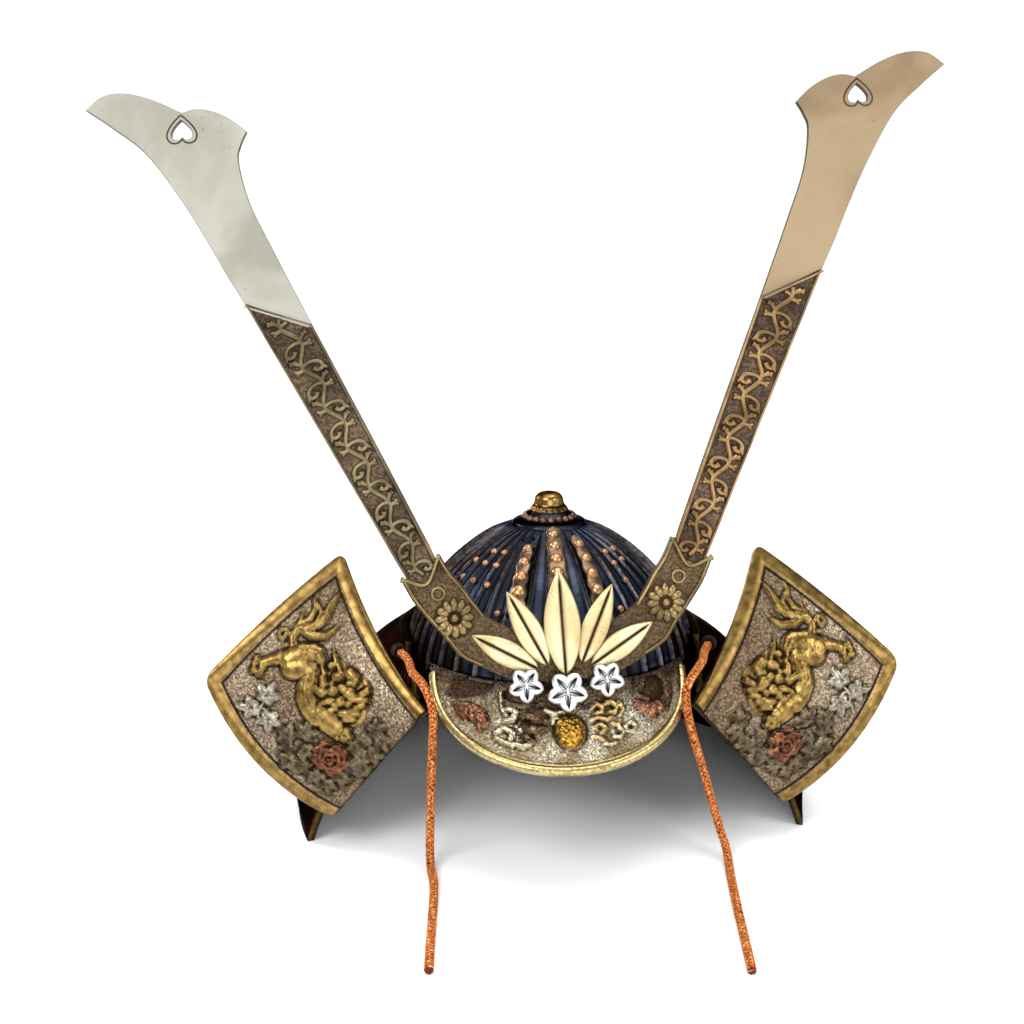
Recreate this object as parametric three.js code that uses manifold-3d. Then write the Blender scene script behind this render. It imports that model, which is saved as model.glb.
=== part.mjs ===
// Ornamental kabuto: a small cast-metal helmet with two long horns and two orange cords.
// Millimetres, +Z up, the face towards -Y, standing on the rim of the neck guard at Z = 0.

import * as THREE from 'three';
import { mergeVertices } from 'three/addons/utils/BufferGeometryUtils.js';
import Module from 'manifold-3d';

const wasm = await Module();
wasm.setup();

// Driving dimensions
const clearance = 0.3;          // gap between pieces that touch

const rimHeight = 60;           // the bowl's lower edge above the surface
const bowlHalfWidth = 51;
const bowlHalfLength = 54;
const bowlRise = 44;            // rim to crown
const bowlWall = 2.2;
const bowlFullness = 2.3;       // 2 is an ellipsoid, more is squarer
const ribCount = 24;
const ribDepth = 0.8;
const stripRaise = 0.9;         // gilt strips on the brow
const rivetRadius = 1.15;

const knobHeight = 12;
const knobRadius = 13.4;        // base ring

const guardTop = 66;            // upper edge of the neck guard, round the bowl
const guardHalfWidth = 95.5;
const guardBack = 92;           // behind the bowl's centre
const guardFront = 35;          // front ends, before the bowl's centre
const guardWall = 2.2;
const fluteDepth = 0.5;

const visorDepth = 24;          // from the brow to the lip
const visorReach = bowlHalfLength + visorDepth;
const visorHalfWidth = 42.5;
const visorRoot = 63.5;         // height where it meets the bowl
const visorDrop = 21.5;         // root to lip at the middle
const visorWall = 2;
const visorSlant = 1.3;         // upright thickness of the sloping wall over its real one
const visorRoll = 1.7;          // radius of the rolled edge
const visorDish = 2.2;          // sag between the bowl and the lip

const foldHeight = 52.3;        // inner corner of a turn-back plate
const foldSide = 45.4;
const foldFront = 47.8;
const plateRise = 45.3;         // inner corner to top corner
const plateSpread = 75.6;       // inner corner to outer corner, sideways
const plateFall = 39.5;         // inner corner to bottom corner
const plateWall = 2.4;
const plateBulge = 4;
const rimRaise = 0.8;

const crestLean = THREE.MathUtils.degToRad(15);
const crestTilt = THREE.MathUtils.degToRad(2.87);  // the crest stands a little askew
const crestGap = 5.4;           // from the brow to the crest's foot
const crestFront = bowlHalfLength + crestGap;
const crestHeight = 74;
const baseSpan = 51.2;          // half-width of the horn base
const baseRise = 37;            // its inner points above the crest's foot
const baseDepth = 7;            // its lower edge below the crest's foot
const baseThick = 4.4;
const rosetteRadius = 6.6;
const petalCount = 13;

const hornSplay = THREE.MathUtils.degToRad(25);
const hornLength = 176.5;       // mouth of the base to the outer tip
const hornBreadth = 42;         // across the two lobes
const hornThick = 2.2;
const hornTongue = 14;          // hidden in the base
const heartSize = 6.6;

const leafLength = 33.5;        // centre leaf of the crest
const leafWidth = 11.9;
const leafThick = 1.5;
const flowerRadius = 6;
const flowerThick = 1.8;

const stemRadius = 1.3;         // side flowers
const postWidth = 9;            // tab between the bowl and the horn base
const postHeight = 6.9;
const postThick = 1.4;
const postDrop = 5.85;          // its middle below the crest's foot

const cordDiameter = 3;
const eyeRadius = 2.6;
const eyeLength = 3;

// The object is centred between the visor's lip and the back of the neck guard.
const shiftY = (visorReach - guardBack) / 2;
// The tilted horns reach further to the left, and this brings them back over the middle.
const shiftX = 9.39;

const finishes = {
  blueBlack: { color: 0x23262e, roughness: 0.42, metalness: 0.75 },
  darkBrown: { color: 0x2c221c, roughness: 0.5, metalness: 0.6 },
  knobBrass: { color: 0x8a6a2c, roughness: 0.35, metalness: 0.9 },
  plateBrass: { color: 0x8d7445, roughness: 0.42, metalness: 0.85 },
  visorBrass: { color: 0xa3926a, roughness: 0.4, metalness: 0.85 },
  baseBrass: { color: 0x6e6041, roughness: 0.5, metalness: 0.8 },
  paleHorn: { color: 0xb5ab88, roughness: 0.45, metalness: 0.75 },
  paleLeaf: { color: 0xc9b983, roughness: 0.4, metalness: 0.75 },
  silver: { color: 0xd4d4d2, roughness: 0.3, metalness: 0.9 },
  orangeCord: { color: 0xc4622a, roughness: 0.9, metalness: 0 },
};

const vec = (x, y, z) => new THREE.Vector3(x, y, z);
const mix = (a, b, t) => a + (b - a) * t;
const mirrorX = new THREE.Matrix4().makeScale(-1, 1, 1);

// Smooth interpolation of one column of a table whose rows are ordered by another
function readTable(rows, key, at, column) {
  let i = 0;
  while (i < rows.length - 2 && at > rows[i + 1][key]) i += 1;
  const before = rows[Math.max(i - 1, 0)];
  const from = rows[i];
  const to = rows[i + 1];
  const after = rows[Math.min(i + 2, rows.length - 1)];
  const span = to[key] - from[key];
  const t = (at - from[key]) / span;
  const slopeIn = (to[column] - before[column]) / (to[key] - before[key]) * span;
  const slopeOut = (after[column] - from[column]) / (after[key] - from[key]) * span;
  const t2 = t * t;
  const t3 = t2 * t;
  return (2 * t3 - 3 * t2 + 1) * from[column] + (t3 - 2 * t2 + t) * slopeIn
    + (3 * t2 - 2 * t3) * to[column] + (t3 - t2) * slopeOut;
}

// A geometry with position only, merged, without flat triangles, and turned to face outwards
function tidy(geometry) {
  const bare = geometry.clone();
  for (const name of Object.keys(bare.attributes)) {
    if (name !== 'position') bare.deleteAttribute(name);
  }
  const merged = mergeVertices(bare, 1e-4);
  const at = merged.attributes.position;
  const kept = [];
  let volume = 0;
  const a = vec(0, 0, 0);
  const b = vec(0, 0, 0);
  const c = vec(0, 0, 0);
  for (let i = 0; i < merged.index.count; i += 3) {
    const corners = [0, 1, 2].map((k) => merged.index.getX(i + k));
    if (new Set(corners).size < 3) continue;
    kept.push(...corners);
    a.fromBufferAttribute(at, corners[0]);
    b.fromBufferAttribute(at, corners[1]);
    c.fromBufferAttribute(at, corners[2]);
    volume += a.dot(b.cross(c));
  }
  if (volume < 0) {
    for (let i = 0; i < kept.length; i += 3) [kept[i + 1], kept[i + 2]] = [kept[i + 2], kept[i + 1]];
  }
  merged.setIndex(kept);
  return merged;
}

function toSolid(geometry) {
  const clean = tidy(geometry);
  return new wasm.Manifold(new wasm.Mesh({
    numProp: 3,
    vertProperties: new Float32Array(clean.attributes.position.array),
    triVerts: new Uint32Array(clean.index.array),
  }));
}

function toGeometry(solid) {
  const mesh = solid.getMesh();
  const geometry = new THREE.BufferGeometry();
  geometry.setAttribute('position', new THREE.BufferAttribute(mesh.vertProperties, mesh.numProp));
  geometry.setIndex(new THREE.BufferAttribute(mesh.triVerts, 1));
  return geometry;
}

const join = (solids) => solids.reduce((whole, next) => whole.add(next));

// A closed wall between two surfaces that are sampled at the same rows and columns
function wall(columns, rows, face, back, wraps) {
  const points = [];
  const across = wraps ? columns : columns + 1;
  for (const surface of [face, back]) {
    for (let r = 0; r <= rows; r += 1) {
      for (let c = 0; c < across; c += 1) points.push(surface(c / columns, r / rows, c, r));
    }
  }
  const layer = across * (rows + 1);
  const at = (side, c, r) => side * layer + r * across + (c % across);
  const index = [];
  const quad = (p, q, s, t) => index.push(p, q, s, p, s, t);
  for (let r = 0; r < rows; r += 1) {
    for (let c = 0; c < columns; c += 1) {
      quad(at(0, c, r), at(0, c + 1, r), at(0, c + 1, r + 1), at(0, c, r + 1));
      quad(at(1, c, r), at(1, c, r + 1), at(1, c + 1, r + 1), at(1, c + 1, r));
    }
  }
  for (let c = 0; c < columns; c += 1) {
    quad(at(0, c, 0), at(1, c, 0), at(1, c + 1, 0), at(0, c + 1, 0));
    quad(at(0, c, rows), at(0, c + 1, rows), at(1, c + 1, rows), at(1, c, rows));
  }
  for (let r = 0; r < rows && !wraps; r += 1) {
    quad(at(0, 0, r), at(0, 0, r + 1), at(1, 0, r + 1), at(1, 0, r));
    quad(at(0, columns, r), at(1, columns, r), at(1, columns, r + 1), at(0, columns, r + 1));
  }
  const geometry = new THREE.BufferGeometry().setFromPoints(points);
  geometry.setIndex(index);
  return tidy(geometry);
}

// The frame of a surface at (s, t): point, two tangents and the normal on the chosen side
function frameOn(surface, s, t, side) {
  const step = 0.01;
  const point = surface(s, t);
  const along = surface(s + step, t).sub(surface(s - step, t)).normalize();
  const over = surface(s, t + step).sub(surface(s, t - step)).normalize();
  const normal = vec(0, 0, 0).crossVectors(along, over).normalize().multiplyScalar(side);
  return { point, along, over: vec(0, 0, 0).crossVectors(normal, along).multiplyScalar(side), normal };
}

// A low rounded lump on a frame: half its height stands out of the surface
function lump(frame, length, width, height, turn = 0, sides = 6, rings = 4) {
  const shape = new THREE.SphereGeometry(1, sides, rings);
  shape.rotateX(Math.PI / 2);
  shape.scale(length / 2, width / 2, height);
  shape.rotateZ(turn);
  shape.applyMatrix4(new THREE.Matrix4().makeBasis(frame.along, frame.over, frame.normal)
    .setPosition(frame.point));
  return toSolid(shape);
}

// A strip of metal of square section along a path in the XY plane, standing on Z = low
function ridge(points, width, low, high, steps) {
  const curve = new THREE.CatmullRomCurve3(points.map(([x, y]) => vec(x, y, 0)));
  const side = (share, reach) => {
    const at = curve.getPoint(share);
    const run = curve.getTangent(share);
    return [at.x - run.y * reach, at.y + run.x * reach];
  };
  const edge = (share, reach, z) => vec(...side(share, reach), z);
  return toSolid(wall(steps, 1,
    (s, t) => edge(s, mix(-width, width, t) / 2, high),
    (s, t) => edge(s, mix(-width, width, t) / 2, low), false));
}

// Bowl: a superellipsoid dome. Turn is measured from the brow, rise runs from rim to crown.
function bowlPoint(turn, rise, grow) {
  const angle = rise * Math.PI / 2;
  const radius = Math.cos(angle) < 1e-6 ? 0 : Math.cos(angle) ** (2 / bowlFullness);
  const up = Math.sin(angle) ** (2 / bowlFullness);
  return vec(
    (bowlHalfWidth + grow) * radius * Math.sin(turn),
    -(bowlHalfLength + grow) * radius * Math.cos(turn),
    rimHeight + (bowlRise + grow) * up,
  );
}

const bowlFront = (turn, rise) => frameOn((s, t) => bowlPoint(s, t, 0), turn, rise, 1);

// Strips on the brow: turn from the middle, upper and lower end as rise, foot width as a share
const browStrips = [
  { turn: 0, top: 0.83, bottom: 0.3, width: 0.15 },
  { turn: -0.33, top: 0.81, bottom: 0.42, width: 0.12 },
  { turn: 0.33, top: 0.81, bottom: 0.42, width: 0.12 },
];
const bumpsPerStrip = 4;
const ribEnd = 0.86;             // rise at which the ribs run out under the knob's base ring

// Rivets beside the strips: turn from the middle and rise
const rivetPlaces = [
  { turn: 0.62, rise: 0.64 }, { turn: 0.62, rise: 0.52 }, { turn: 0.64, rise: 0.38 },
  { turn: 0.86, rise: 0.6 }, { turn: 0.9, rise: 0.5 }, { turn: 0.84, rise: 0.68 },
  { turn: 0.6, rise: 0.24 },
];

function makeBowl() {
  const columns = 2 * ribCount;
  const rows = 6;
  const rib = (c, share) => (c % 2 ? ribDepth * Math.min(1, Math.max(0, (ribEnd - share) * 5)) : 0);
  const dome = toSolid(wall(columns, rows,
    (s, share, c) => bowlPoint(s * 2 * Math.PI, share, rib(c, share)),
    (s, share) => {
      const inner = bowlPoint(s * 2 * Math.PI, share, -bowlWall);
      return share === 0 ? inner.setZ(rimHeight) : inner;
    }, true));
  const pieces = [dome];
  for (const strip of browStrips) {
    const spread = (t) => strip.width * mix(1, 0.75, t);
    const place = (s, t, grow) => bowlPoint(
      strip.turn + (s - 0.5) * 2 * spread(t), mix(strip.bottom, strip.top, t), grow);
    pieces.push(toSolid(wall(2, 4, (s, t) => place(s, t, ribDepth + stripRaise),
      (s, t) => place(s, t, -bowlWall / 2), false)));
    for (let i = 0; i < bumpsPerStrip; i += 1) {
      const rise = mix(strip.bottom, strip.top, (i + 1.6) / (bumpsPerStrip + 0.9));
      const height = ribDepth + stripRaise + rivetRadius;
      pieces.push(lump(bowlFront(strip.turn, rise), 3 * rivetRadius, 3 * rivetRadius, height, 0, 6, 2));
    }
  }
  for (const place of rivetPlaces) {
    for (const side of [-1, 1]) {
      const frame = bowlFront(side * place.turn, place.rise);
      pieces.push(lump(frame, 2.4 * rivetRadius, 2.4 * rivetRadius, ribDepth + rivetRadius, 0, 6, 2));
    }
  }
  // The small slanted hole near the knob
  const hole = lump(bowlFront(-0.42, 0.8), 4.6, 2, 2.5 * bowlWall, 0.5, 8);
  return toGeometry(join(pieces).subtract(hole));
}

// Crown knob: radius and height as shares of the base ring's radius and of the knob's height
const knobProfile = [
  { radius: 1, height: 0.02 }, { radius: 0.9, height: 0.13 }, { radius: 0.72, height: 0.18 },
  { radius: 0.74, height: 0.3 }, { radius: 0.5, height: 0.42 }, { radius: 0.46, height: 0.52 },
  { radius: 0.39, height: 0.58 }, { radius: 0.41, height: 0.8 }, { radius: 0.28, height: 0.96 },
  { radius: 0, height: 1 },
];

function makeKnob() {
  // The underside follows the crown of the bowl.
  const underside = (radius) => rimHeight + clearance
    + bowlRise * (1 - (radius / bowlHalfWidth) ** bowlFullness) ** (1 / bowlFullness);
  const outline = [0, 0.35, 0.7, 1].map((share) => share * knobRadius)
    .map((radius) => new THREE.Vector2(radius, underside(radius) + (radius > 0 ? clearance / 2 : 0)));
  const seat = underside(knobRadius) + 1.2;
  for (const row of knobProfile) {
    outline.push(new THREE.Vector2(row.radius * knobRadius, seat + row.height * knobHeight));
  }
  return tidy(new THREE.LatheGeometry(outline, 18).rotateX(Math.PI / 2));
}

// Neck guard: half-sections from top to rim. Down runs 0 to 1, the rest are shares: height of
// guardTop, side of guardHalfWidth, back of guardBack, endSide of guardHalfWidth, endFront of
// guardFront.
const guardSections = [
  { down: 0, height: 1, side: 0.57, back: 0.625, endSide: 0.548, endFront: 0.45 },
  { down: 0.12, height: 0.962, side: 0.605, back: 0.66, endSide: 0.53, endFront: 0.8 },
  { down: 0.27, height: 0.864, side: 0.7, back: 0.75, endSide: 0.508, endFront: 1.15 },
  { down: 0.44, height: 0.682, side: 0.825, back: 0.845, endSide: 0.545, endFront: 1.18 },
  { down: 0.6, height: 0.485, side: 0.925, back: 0.92, endSide: 0.66, endFront: 1.17 },
  { down: 0.78, height: 0.258, side: 0.985, back: 0.97, endSide: 0.838, endFront: 1.08 },
  { down: 0.9, height: 0.121, side: 1, back: 0.99, endSide: 0.89, endFront: 1.02 },
  { down: 1, height: 0, side: 0.985, back: 1, endSide: 0.92, endFront: 1 },
];
const guardSide = 6;            // the widest place, behind the bowl's centre
const guardQuarter = 0.62;      // share of a half that is the round back

function guardPoint(across, down) {
  const at = (column) => readTable(guardSections, 'down', down, column);
  const side = at('side') * guardHalfWidth;
  const back = at('back') * guardBack;
  const endSide = at('endSide') * guardHalfWidth;
  const endFront = at('endFront') * guardFront;
  const half = Math.abs(across);
  const sign = Math.sign(across);
  const z = at('height') * guardTop;
  if (half <= guardQuarter) {
    const angle = half / guardQuarter * Math.PI / 2;
    return vec(sign * side * Math.sin(angle), guardSide + (back - guardSide) * Math.cos(angle), z);
  }
  const t = (half - guardQuarter) / (1 - guardQuarter);
  const bend = mix(guardSide, -endFront, 0.5);
  const x = (1 - t) ** 2 * side + 2 * t * (1 - t) * side + t * t * endSide;
  const y = (1 - t) ** 2 * guardSide + 2 * t * (1 - t) * bend - t * t * endFront;
  return vec(sign * x, y, z);
}

function makeNeckGuard() {
  const columns = 48;
  const rows = 7;
  const inner = (s, t) => {
    const across = mix(-1, 1, s);
    const held = Math.max(-0.985, Math.min(0.985, across));
    const down = Math.min(Math.max(t, 0.011), 0.989);
    const frame = frameOn(guardPoint, held, down, 1);
    const outward = frame.normal.dot(vec(frame.point.x, frame.point.y, 1)) > 0 ? 1 : -1;
    const point = guardPoint(across, t);
    const offset = frame.normal.multiplyScalar(outward * guardWall);
    if (t === 0 || t === 1) offset.setZ(0).setLength(guardWall);
    return point.sub(offset);
  };
  const face = (s, t, c) => {
    const point = guardPoint(mix(-1, 1, s), t);
    if (c % 2 === 0 || t === 0) return point;
    return point.sub(vec(point.x, point.y, 0).setLength(fluteDepth));
  };
  return wall(columns, rows, face, inner, false);
}

// Visor: from the bowl's brow to a rolled lip. Sweep runs -1 to 1 from end to end.
const visorSweep = 1.02;        // half-angle on the bowl
const visorEndHeight = 60.5;
const visorEndLength = 6.5;     // from the bowl to the lip at each end

function visorPoint(sweep, out) {
  const turn = sweep * visorSweep;
  const seat = ribDepth + clearance;
  const endY = -(bowlHalfLength + seat) * Math.cos(visorSweep) - visorEndLength;
  const root = vec((bowlHalfWidth + seat) * Math.sin(turn),
    -(bowlHalfLength + seat) * Math.cos(turn), visorRoot);
  const round = sweep * Math.PI / 2;
  const lip = vec(visorHalfWidth * Math.sin(round),
    endY - (visorReach - visorRoll + endY) * Math.cos(round),
    mix(visorEndHeight, visorRoot - visorDrop, Math.cos(round) ** 0.8));
  const dish = visorDish * Math.sin(out * Math.PI) * Math.cos(round);
  return root.lerp(lip, out).add(vec(0, dish * 0.6, -dish));
}

// Cloud and lump relief on the visor: place, length, width and height in millimetres of relief
const visorRelief = [
  { sweep: -0.62, out: 0.66, length: 9, width: 6, height: 2, turn: -0.5 },
  { sweep: -0.52, out: 0.5, length: 6, width: 5, height: 1.8, turn: 0.3 },
  { sweep: -0.33, out: 0.72, length: 7, width: 3.5, height: 1.4, turn: 0.4 },
  { sweep: -0.3, out: 0.55, length: 6, width: 3, height: 1.4, turn: -0.3 },
  { sweep: -0.17, out: 0.62, length: 8, width: 7, height: 2.4, turn: 0.8 },
  { sweep: 0.05, out: 0.66, length: 10.5, width: 11, height: 4.4, turn: 0, sides: 10 },
  { sweep: 0.28, out: 0.55, length: 8, width: 3, height: 1.4, turn: 0.3 },
  { sweep: 0.36, out: 0.7, length: 6, width: 4, height: 1.4, turn: -0.4 },
  { sweep: 0.6, out: 0.6, length: 9, width: 6.5, height: 2.2, turn: 0.5 },
  { sweep: 0.68, out: 0.42, length: 6, width: 5, height: 1.6, turn: 0.2 },
];

function makeVisor() {
  const columns = 18;
  const dishRows = 3;
  const rows = dishRows + 3;
  // The last three rows go round the rolled lip, over it on the face and under it on the back.
  const place = (s, r, over) => {
    const sweep = mix(-1, 1, s);
    const lip = visorPoint(sweep, 1);
    const outward = vec(Math.sin(sweep * Math.PI / 2), -Math.cos(sweep * Math.PI / 2), -0.35).normalize();
    if (r > dishRows) {
      const angle = (1 - (r - dishRows) / 3) * Math.PI * 0.75 * over;
      return lip.addScaledVector(outward, visorRoll * Math.cos(angle))
        .add(vec(0, 0, visorRoll * Math.sin(angle)));
    }
    const point = visorPoint(sweep, 0.93 * r / dishRows);
    return over > 0 ? point : point.add(vec(0, 0, -visorWall * visorSlant));
  };
  const pieces = [toSolid(wall(columns, rows,
    (s, t, c, r) => place(s, r, 1), (s, t, c, r) => place(s, r, -1), false))];
  for (const item of visorRelief) {
    const frame = frameOn(visorPoint, item.sweep, item.out, 1);
    if (frame.normal.z < 0) frame.normal.negate();
    pieces.push(lump(frame, item.length, item.width, item.height, item.turn, item.sides ?? 6));
  }
  return toGeometry(join(pieces));
}

// A round bar along points, with flat ends
function sweepTube(points, radius, sides, steps) {
  const path = new THREE.CatmullRomCurve3(points);
  const section = new THREE.Shape();
  for (let i = 0; i < sides; i += 1) {
    const angle = (i + 0.5) * 2 * Math.PI / sides;
    const put = i === 0 ? 'moveTo' : 'lineTo';
    section[put](radius * Math.cos(angle), radius * Math.sin(angle));
  }
  section.closePath();
  return new THREE.ExtrudeGeometry(section, { steps, extrudePath: path, bevelEnabled: false });
}

// Turn-back plate: rise 0 is the fold at the neck guard, 1 the free edge. Over 0 is the edge
// towards the bowl, 1 the lower outer edge.
const plateCorners = {
  inner: vec(foldSide, -foldFront, foldHeight),
  top: vec(foldSide + 0.372 * plateSpread, -foldFront + 0.524 * plateSpread, foldHeight + plateRise),
  bottom: vec(foldSide + 0.431 * plateSpread, -foldFront + 0.06 * plateSpread, foldHeight - plateFall),
  outer: vec(foldSide + plateSpread, -foldFront + 0.222 * plateSpread, foldHeight + 0.17 * plateRise),
};
const plateSag = { nearBowl: 3, outside: 7, free: 1.5 };
const plateOver = plateCorners.bottom.clone().sub(plateCorners.inner).normalize();
const plateUp = plateCorners.top.clone().sub(plateCorners.inner).normalize();
const plateOut = vec(0, 0, 0).crossVectors(plateOver, plateUp).normalize();

function platePoint(rise, over) {
  const { inner, top, bottom, outer } = plateCorners;
  const arc = 4 * rise * (1 - rise);
  const nearBowl = inner.clone().lerp(top, rise).addScaledVector(plateOver, arc * plateSag.nearBowl);
  const outside = bottom.clone().lerp(outer, rise).addScaledVector(plateOver, arc * plateSag.outside);
  const point = nearBowl.lerp(outside, over);
  point.addScaledVector(plateUp, 4 * over * (1 - over) * rise * plateSag.free);
  return point.addScaledVector(plateOut, arc * 4 * over * (1 - over) * plateBulge);
}

const plateFrame = (rise, over) => frameOn((s, t) => platePoint(s, t), rise, over, -1);

// Relief of a plate: places as rise and over, sizes in millimetres, turned from the rise axis
const plateRelief = [
  { rise: 0.62, over: 0.42, length: 15, width: 10, height: 2.4, turn: 0.4 },
  { rise: 0.42, over: 0.44, length: 14, width: 11, height: 2.6, turn: 0.1 },
  { rise: 0.3, over: 0.33, length: 10, width: 10, height: 2.6, turn: 0 },
  { rise: 0.27, over: 0.52, length: 11, width: 6, height: 2, turn: -0.3 },
  { rise: 0.16, over: 0.5, length: 6, width: 5, height: 1.8, turn: 0 },
  { rise: 0.72, over: 0.62, length: 9, width: 4, height: 1.6, turn: 1.2 },
  { rise: 0.8, over: 0.24, length: 15, width: 4, height: 1.6, turn: -0.1 },
  { rise: 0.78, over: 0.14, length: 13, width: 4, height: 1.6, turn: -0.4 },
  { rise: 0.16, over: 0.79, length: 13, width: 13, height: 2.2, turn: 0, sides: 8 },
  { rise: 0.55, over: 0.82, length: 10, width: 8, height: 1.3, turn: 0.6 },
  { rise: 0.34, over: 0.84, length: 10, width: 7, height: 1.3, turn: -0.5 },
  { rise: 0.1, over: 0.62, length: 8, width: 6, height: 1.3, turn: 0.4 },
  { rise: 0.08, over: 0.42, length: 7, width: 6, height: 1.3, turn: 1 },
];

// Rows of the plate's grid: the ground between its rims, with a step at each rim
const rimShare = 0.085;
const rimStep = 0.02;
const plateRises = [0, 0.2, 0.4, 0.6, 0.8, 1 - rimShare - rimStep, 1 - rimShare, 1];
const plateOvers = [0, rimShare, rimShare + rimStep, 0.28, 0.45, 0.62, 0.78,
  1 - rimShare - rimStep, 1 - rimShare, 1];
const cornerCut = 0.05;         // share cut off each rounded corner

function makePlate() {
  const columns = plateRises.length - 1;
  const rows = plateOvers.length - 1;
  const place = (c, r) => {
    const atFree = c === columns;
    const atEdge = r === 0 || r === rows;
    const rise = plateRises[c] - (atFree && atEdge ? cornerCut : 0);
    const inward = r === 0 ? cornerCut : -cornerCut;
    const over = plateOvers[r] + (atEdge && (atFree || (c === 0 && r === rows)) ? inward : 0);
    const raised = c >= columns - 1 || r <= 1 || r >= rows - 1;
    return platePoint(rise, over).addScaledVector(plateOut, raised ? rimRaise : 0);
  };
  const back = (c, r) => place(c, r).addScaledVector(plateOut, -plateWall);
  const pieces = [toSolid(wall(columns, rows,
    (s, t, c, r) => place(c, r), (s, t, c, r) => back(c, r), false))];
  for (const item of plateRelief) {
    const frame = plateFrame(item.rise, item.over);
    pieces.push(lump(frame, item.length, item.width, item.height, item.turn, item.sides ?? 6));
  }
  return toGeometry(join(pieces));
}

// Horn base: outer edge, cusped upper edge and inner edge of one arm, as shares of the base's
// span and rise; heights below the foot are shares of the base's depth
const armOuter = [
  { side: 0.34, up: -0.17 }, { side: 0.53, up: -0.02 }, { side: 0.655, up: 0.085 },
  { side: 0.735, up: 0.235 }, { side: 0.855, up: 0.45 }, { side: 0.93, up: 0.6 },
];
const armCusps = [
  { side: 1, up: 0.8 }, { side: 0.93, up: 0.775 }, { side: 0.855, up: 0.745 },
  { side: 0.815, up: 0.79 }, { side: 0.785, up: 0.87 }, { side: 0.742, up: 1 },
];
const armInner = [
  { side: 0.68, up: 0.83 }, { side: 0.61, up: 0.7 }, { side: 0.55, up: 0.57 },
  { side: 0.48, up: 0.43 }, { side: 0.36, up: 0.32 }, { side: 0.2, up: 0.2 },
];

// A frame that faces the viewer in the crest's plane
const flat = (x, y, z = 0) => ({
  point: vec(x, y, z), along: vec(1, 0, 0), over: vec(0, 1, 0), normal: vec(0, 0, 1),
});

function basePoints(rows, sign) {
  return rows.map((row) => [sign * row.side * baseSpan, row.up * baseRise]);
}

function hornFrame() {
  // The horn's foot is the middle of the base's cusped mouth.
  const foot = vec(0.908 * baseSpan, baseRise, 0);
  return new THREE.Matrix4().makeRotationZ(-hornSplay).setPosition(foot);
}

// Horn: edge points from the foot up, along as a share of hornLength, across of hornBreadth
const hornOuter = [
  { along: 0.554, across: 0.193 }, { along: 0.61, across: 0.214 }, { along: 0.682, across: 0.21 },
  { along: 0.777, across: 0.232 }, { along: 0.879, across: 0.295 }, { along: 0.95, across: 0.425 },
  { along: 1, across: 0.533 },
];
const hornLobes = [
  { along: 1.008, across: 0.37 }, { along: 0.993, across: 0.205 }, { along: 0.96, across: 0.05 },
  { along: 0.914, across: -0.1 },
];
const hornSmallLobe = [
  { along: 0.909, across: -0.2 }, { along: 0.893, across: -0.3 }, { along: 0.865, across: -0.395 },
  { along: 0.828, across: -0.467 },
];
const hornInner = [
  { along: 0.812, across: -0.38 }, { along: 0.787, across: -0.3 }, { along: 0.713, across: -0.222 },
  { along: 0.615, across: -0.202 }, { along: 0.461, across: -0.186 },
];
const shaftWidth = 12.5;        // at the mouth of the base

const hornPoint = (row) => new THREE.Vector2(row.across * hornBreadth, row.along * hornLength);

function hornOutline(grow) {
  const shape = new THREE.Shape();
  const tongueHalf = shaftWidth / 2 - 1 + grow;
  shape.moveTo(-tongueHalf, -hornTongue - grow);
  shape.lineTo(tongueHalf, -hornTongue - grow);
  shape.lineTo(shaftWidth / 2 + grow, 0);
  if (grow > 0) {
    shape.lineTo(shaftWidth / 2 + grow, hornTongue);
    shape.lineTo(-shaftWidth / 2 - grow, hornTongue);
  } else {
    for (const rows of [hornOuter, hornLobes, hornSmallLobe, hornInner]) {
      for (const row of rows) shape.lineTo(...hornPoint(row).toArray());
    }
  }
  shape.lineTo(-shaftWidth / 2 - grow, 0);
  shape.closePath();
  return shape;
}

// A heart on its own centre, point up
function heartOutline(size) {
  const heart = new THREE.Path();
  heart.moveTo(0, 0.55 * size);
  heart.bezierCurveTo(-0.3 * size, 0.3 * size, -0.5 * size, 0.05 * size, -0.5 * size, -0.15 * size);
  heart.bezierCurveTo(-0.5 * size, -0.45 * size, -0.1 * size, -0.5 * size, 0, -0.25 * size);
  heart.bezierCurveTo(0.1 * size, -0.5 * size, 0.5 * size, -0.45 * size, 0.5 * size, -0.15 * size);
  heart.bezierCurveTo(0.5 * size, 0.05 * size, 0.3 * size, 0.3 * size, 0, 0.55 * size);
  return heart;
}

const extrudeFrom = (shape, low, high, curveSegments = 4) => new THREE.ExtrudeGeometry(shape, {
  depth: high - low, bevelEnabled: false, curveSegments,
}).translate(0, 0, low);

// The horn's face lies behind the base's face, so that its tongue sits in the base.
const hornFace = -(baseThick - hornThick) / 2;
const scrollCount = 6;
const scrollStart = 0.035;      // shares of hornLength
const scrollEnd = 0.47;
const scrollRaise = 0.6;
const scrollWidth = 1.2;
const lineRaise = 0.45;         // border lines
const lineInset = 0.9;
const heartPlace = { across: -0.03, along: 0.884 };

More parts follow.
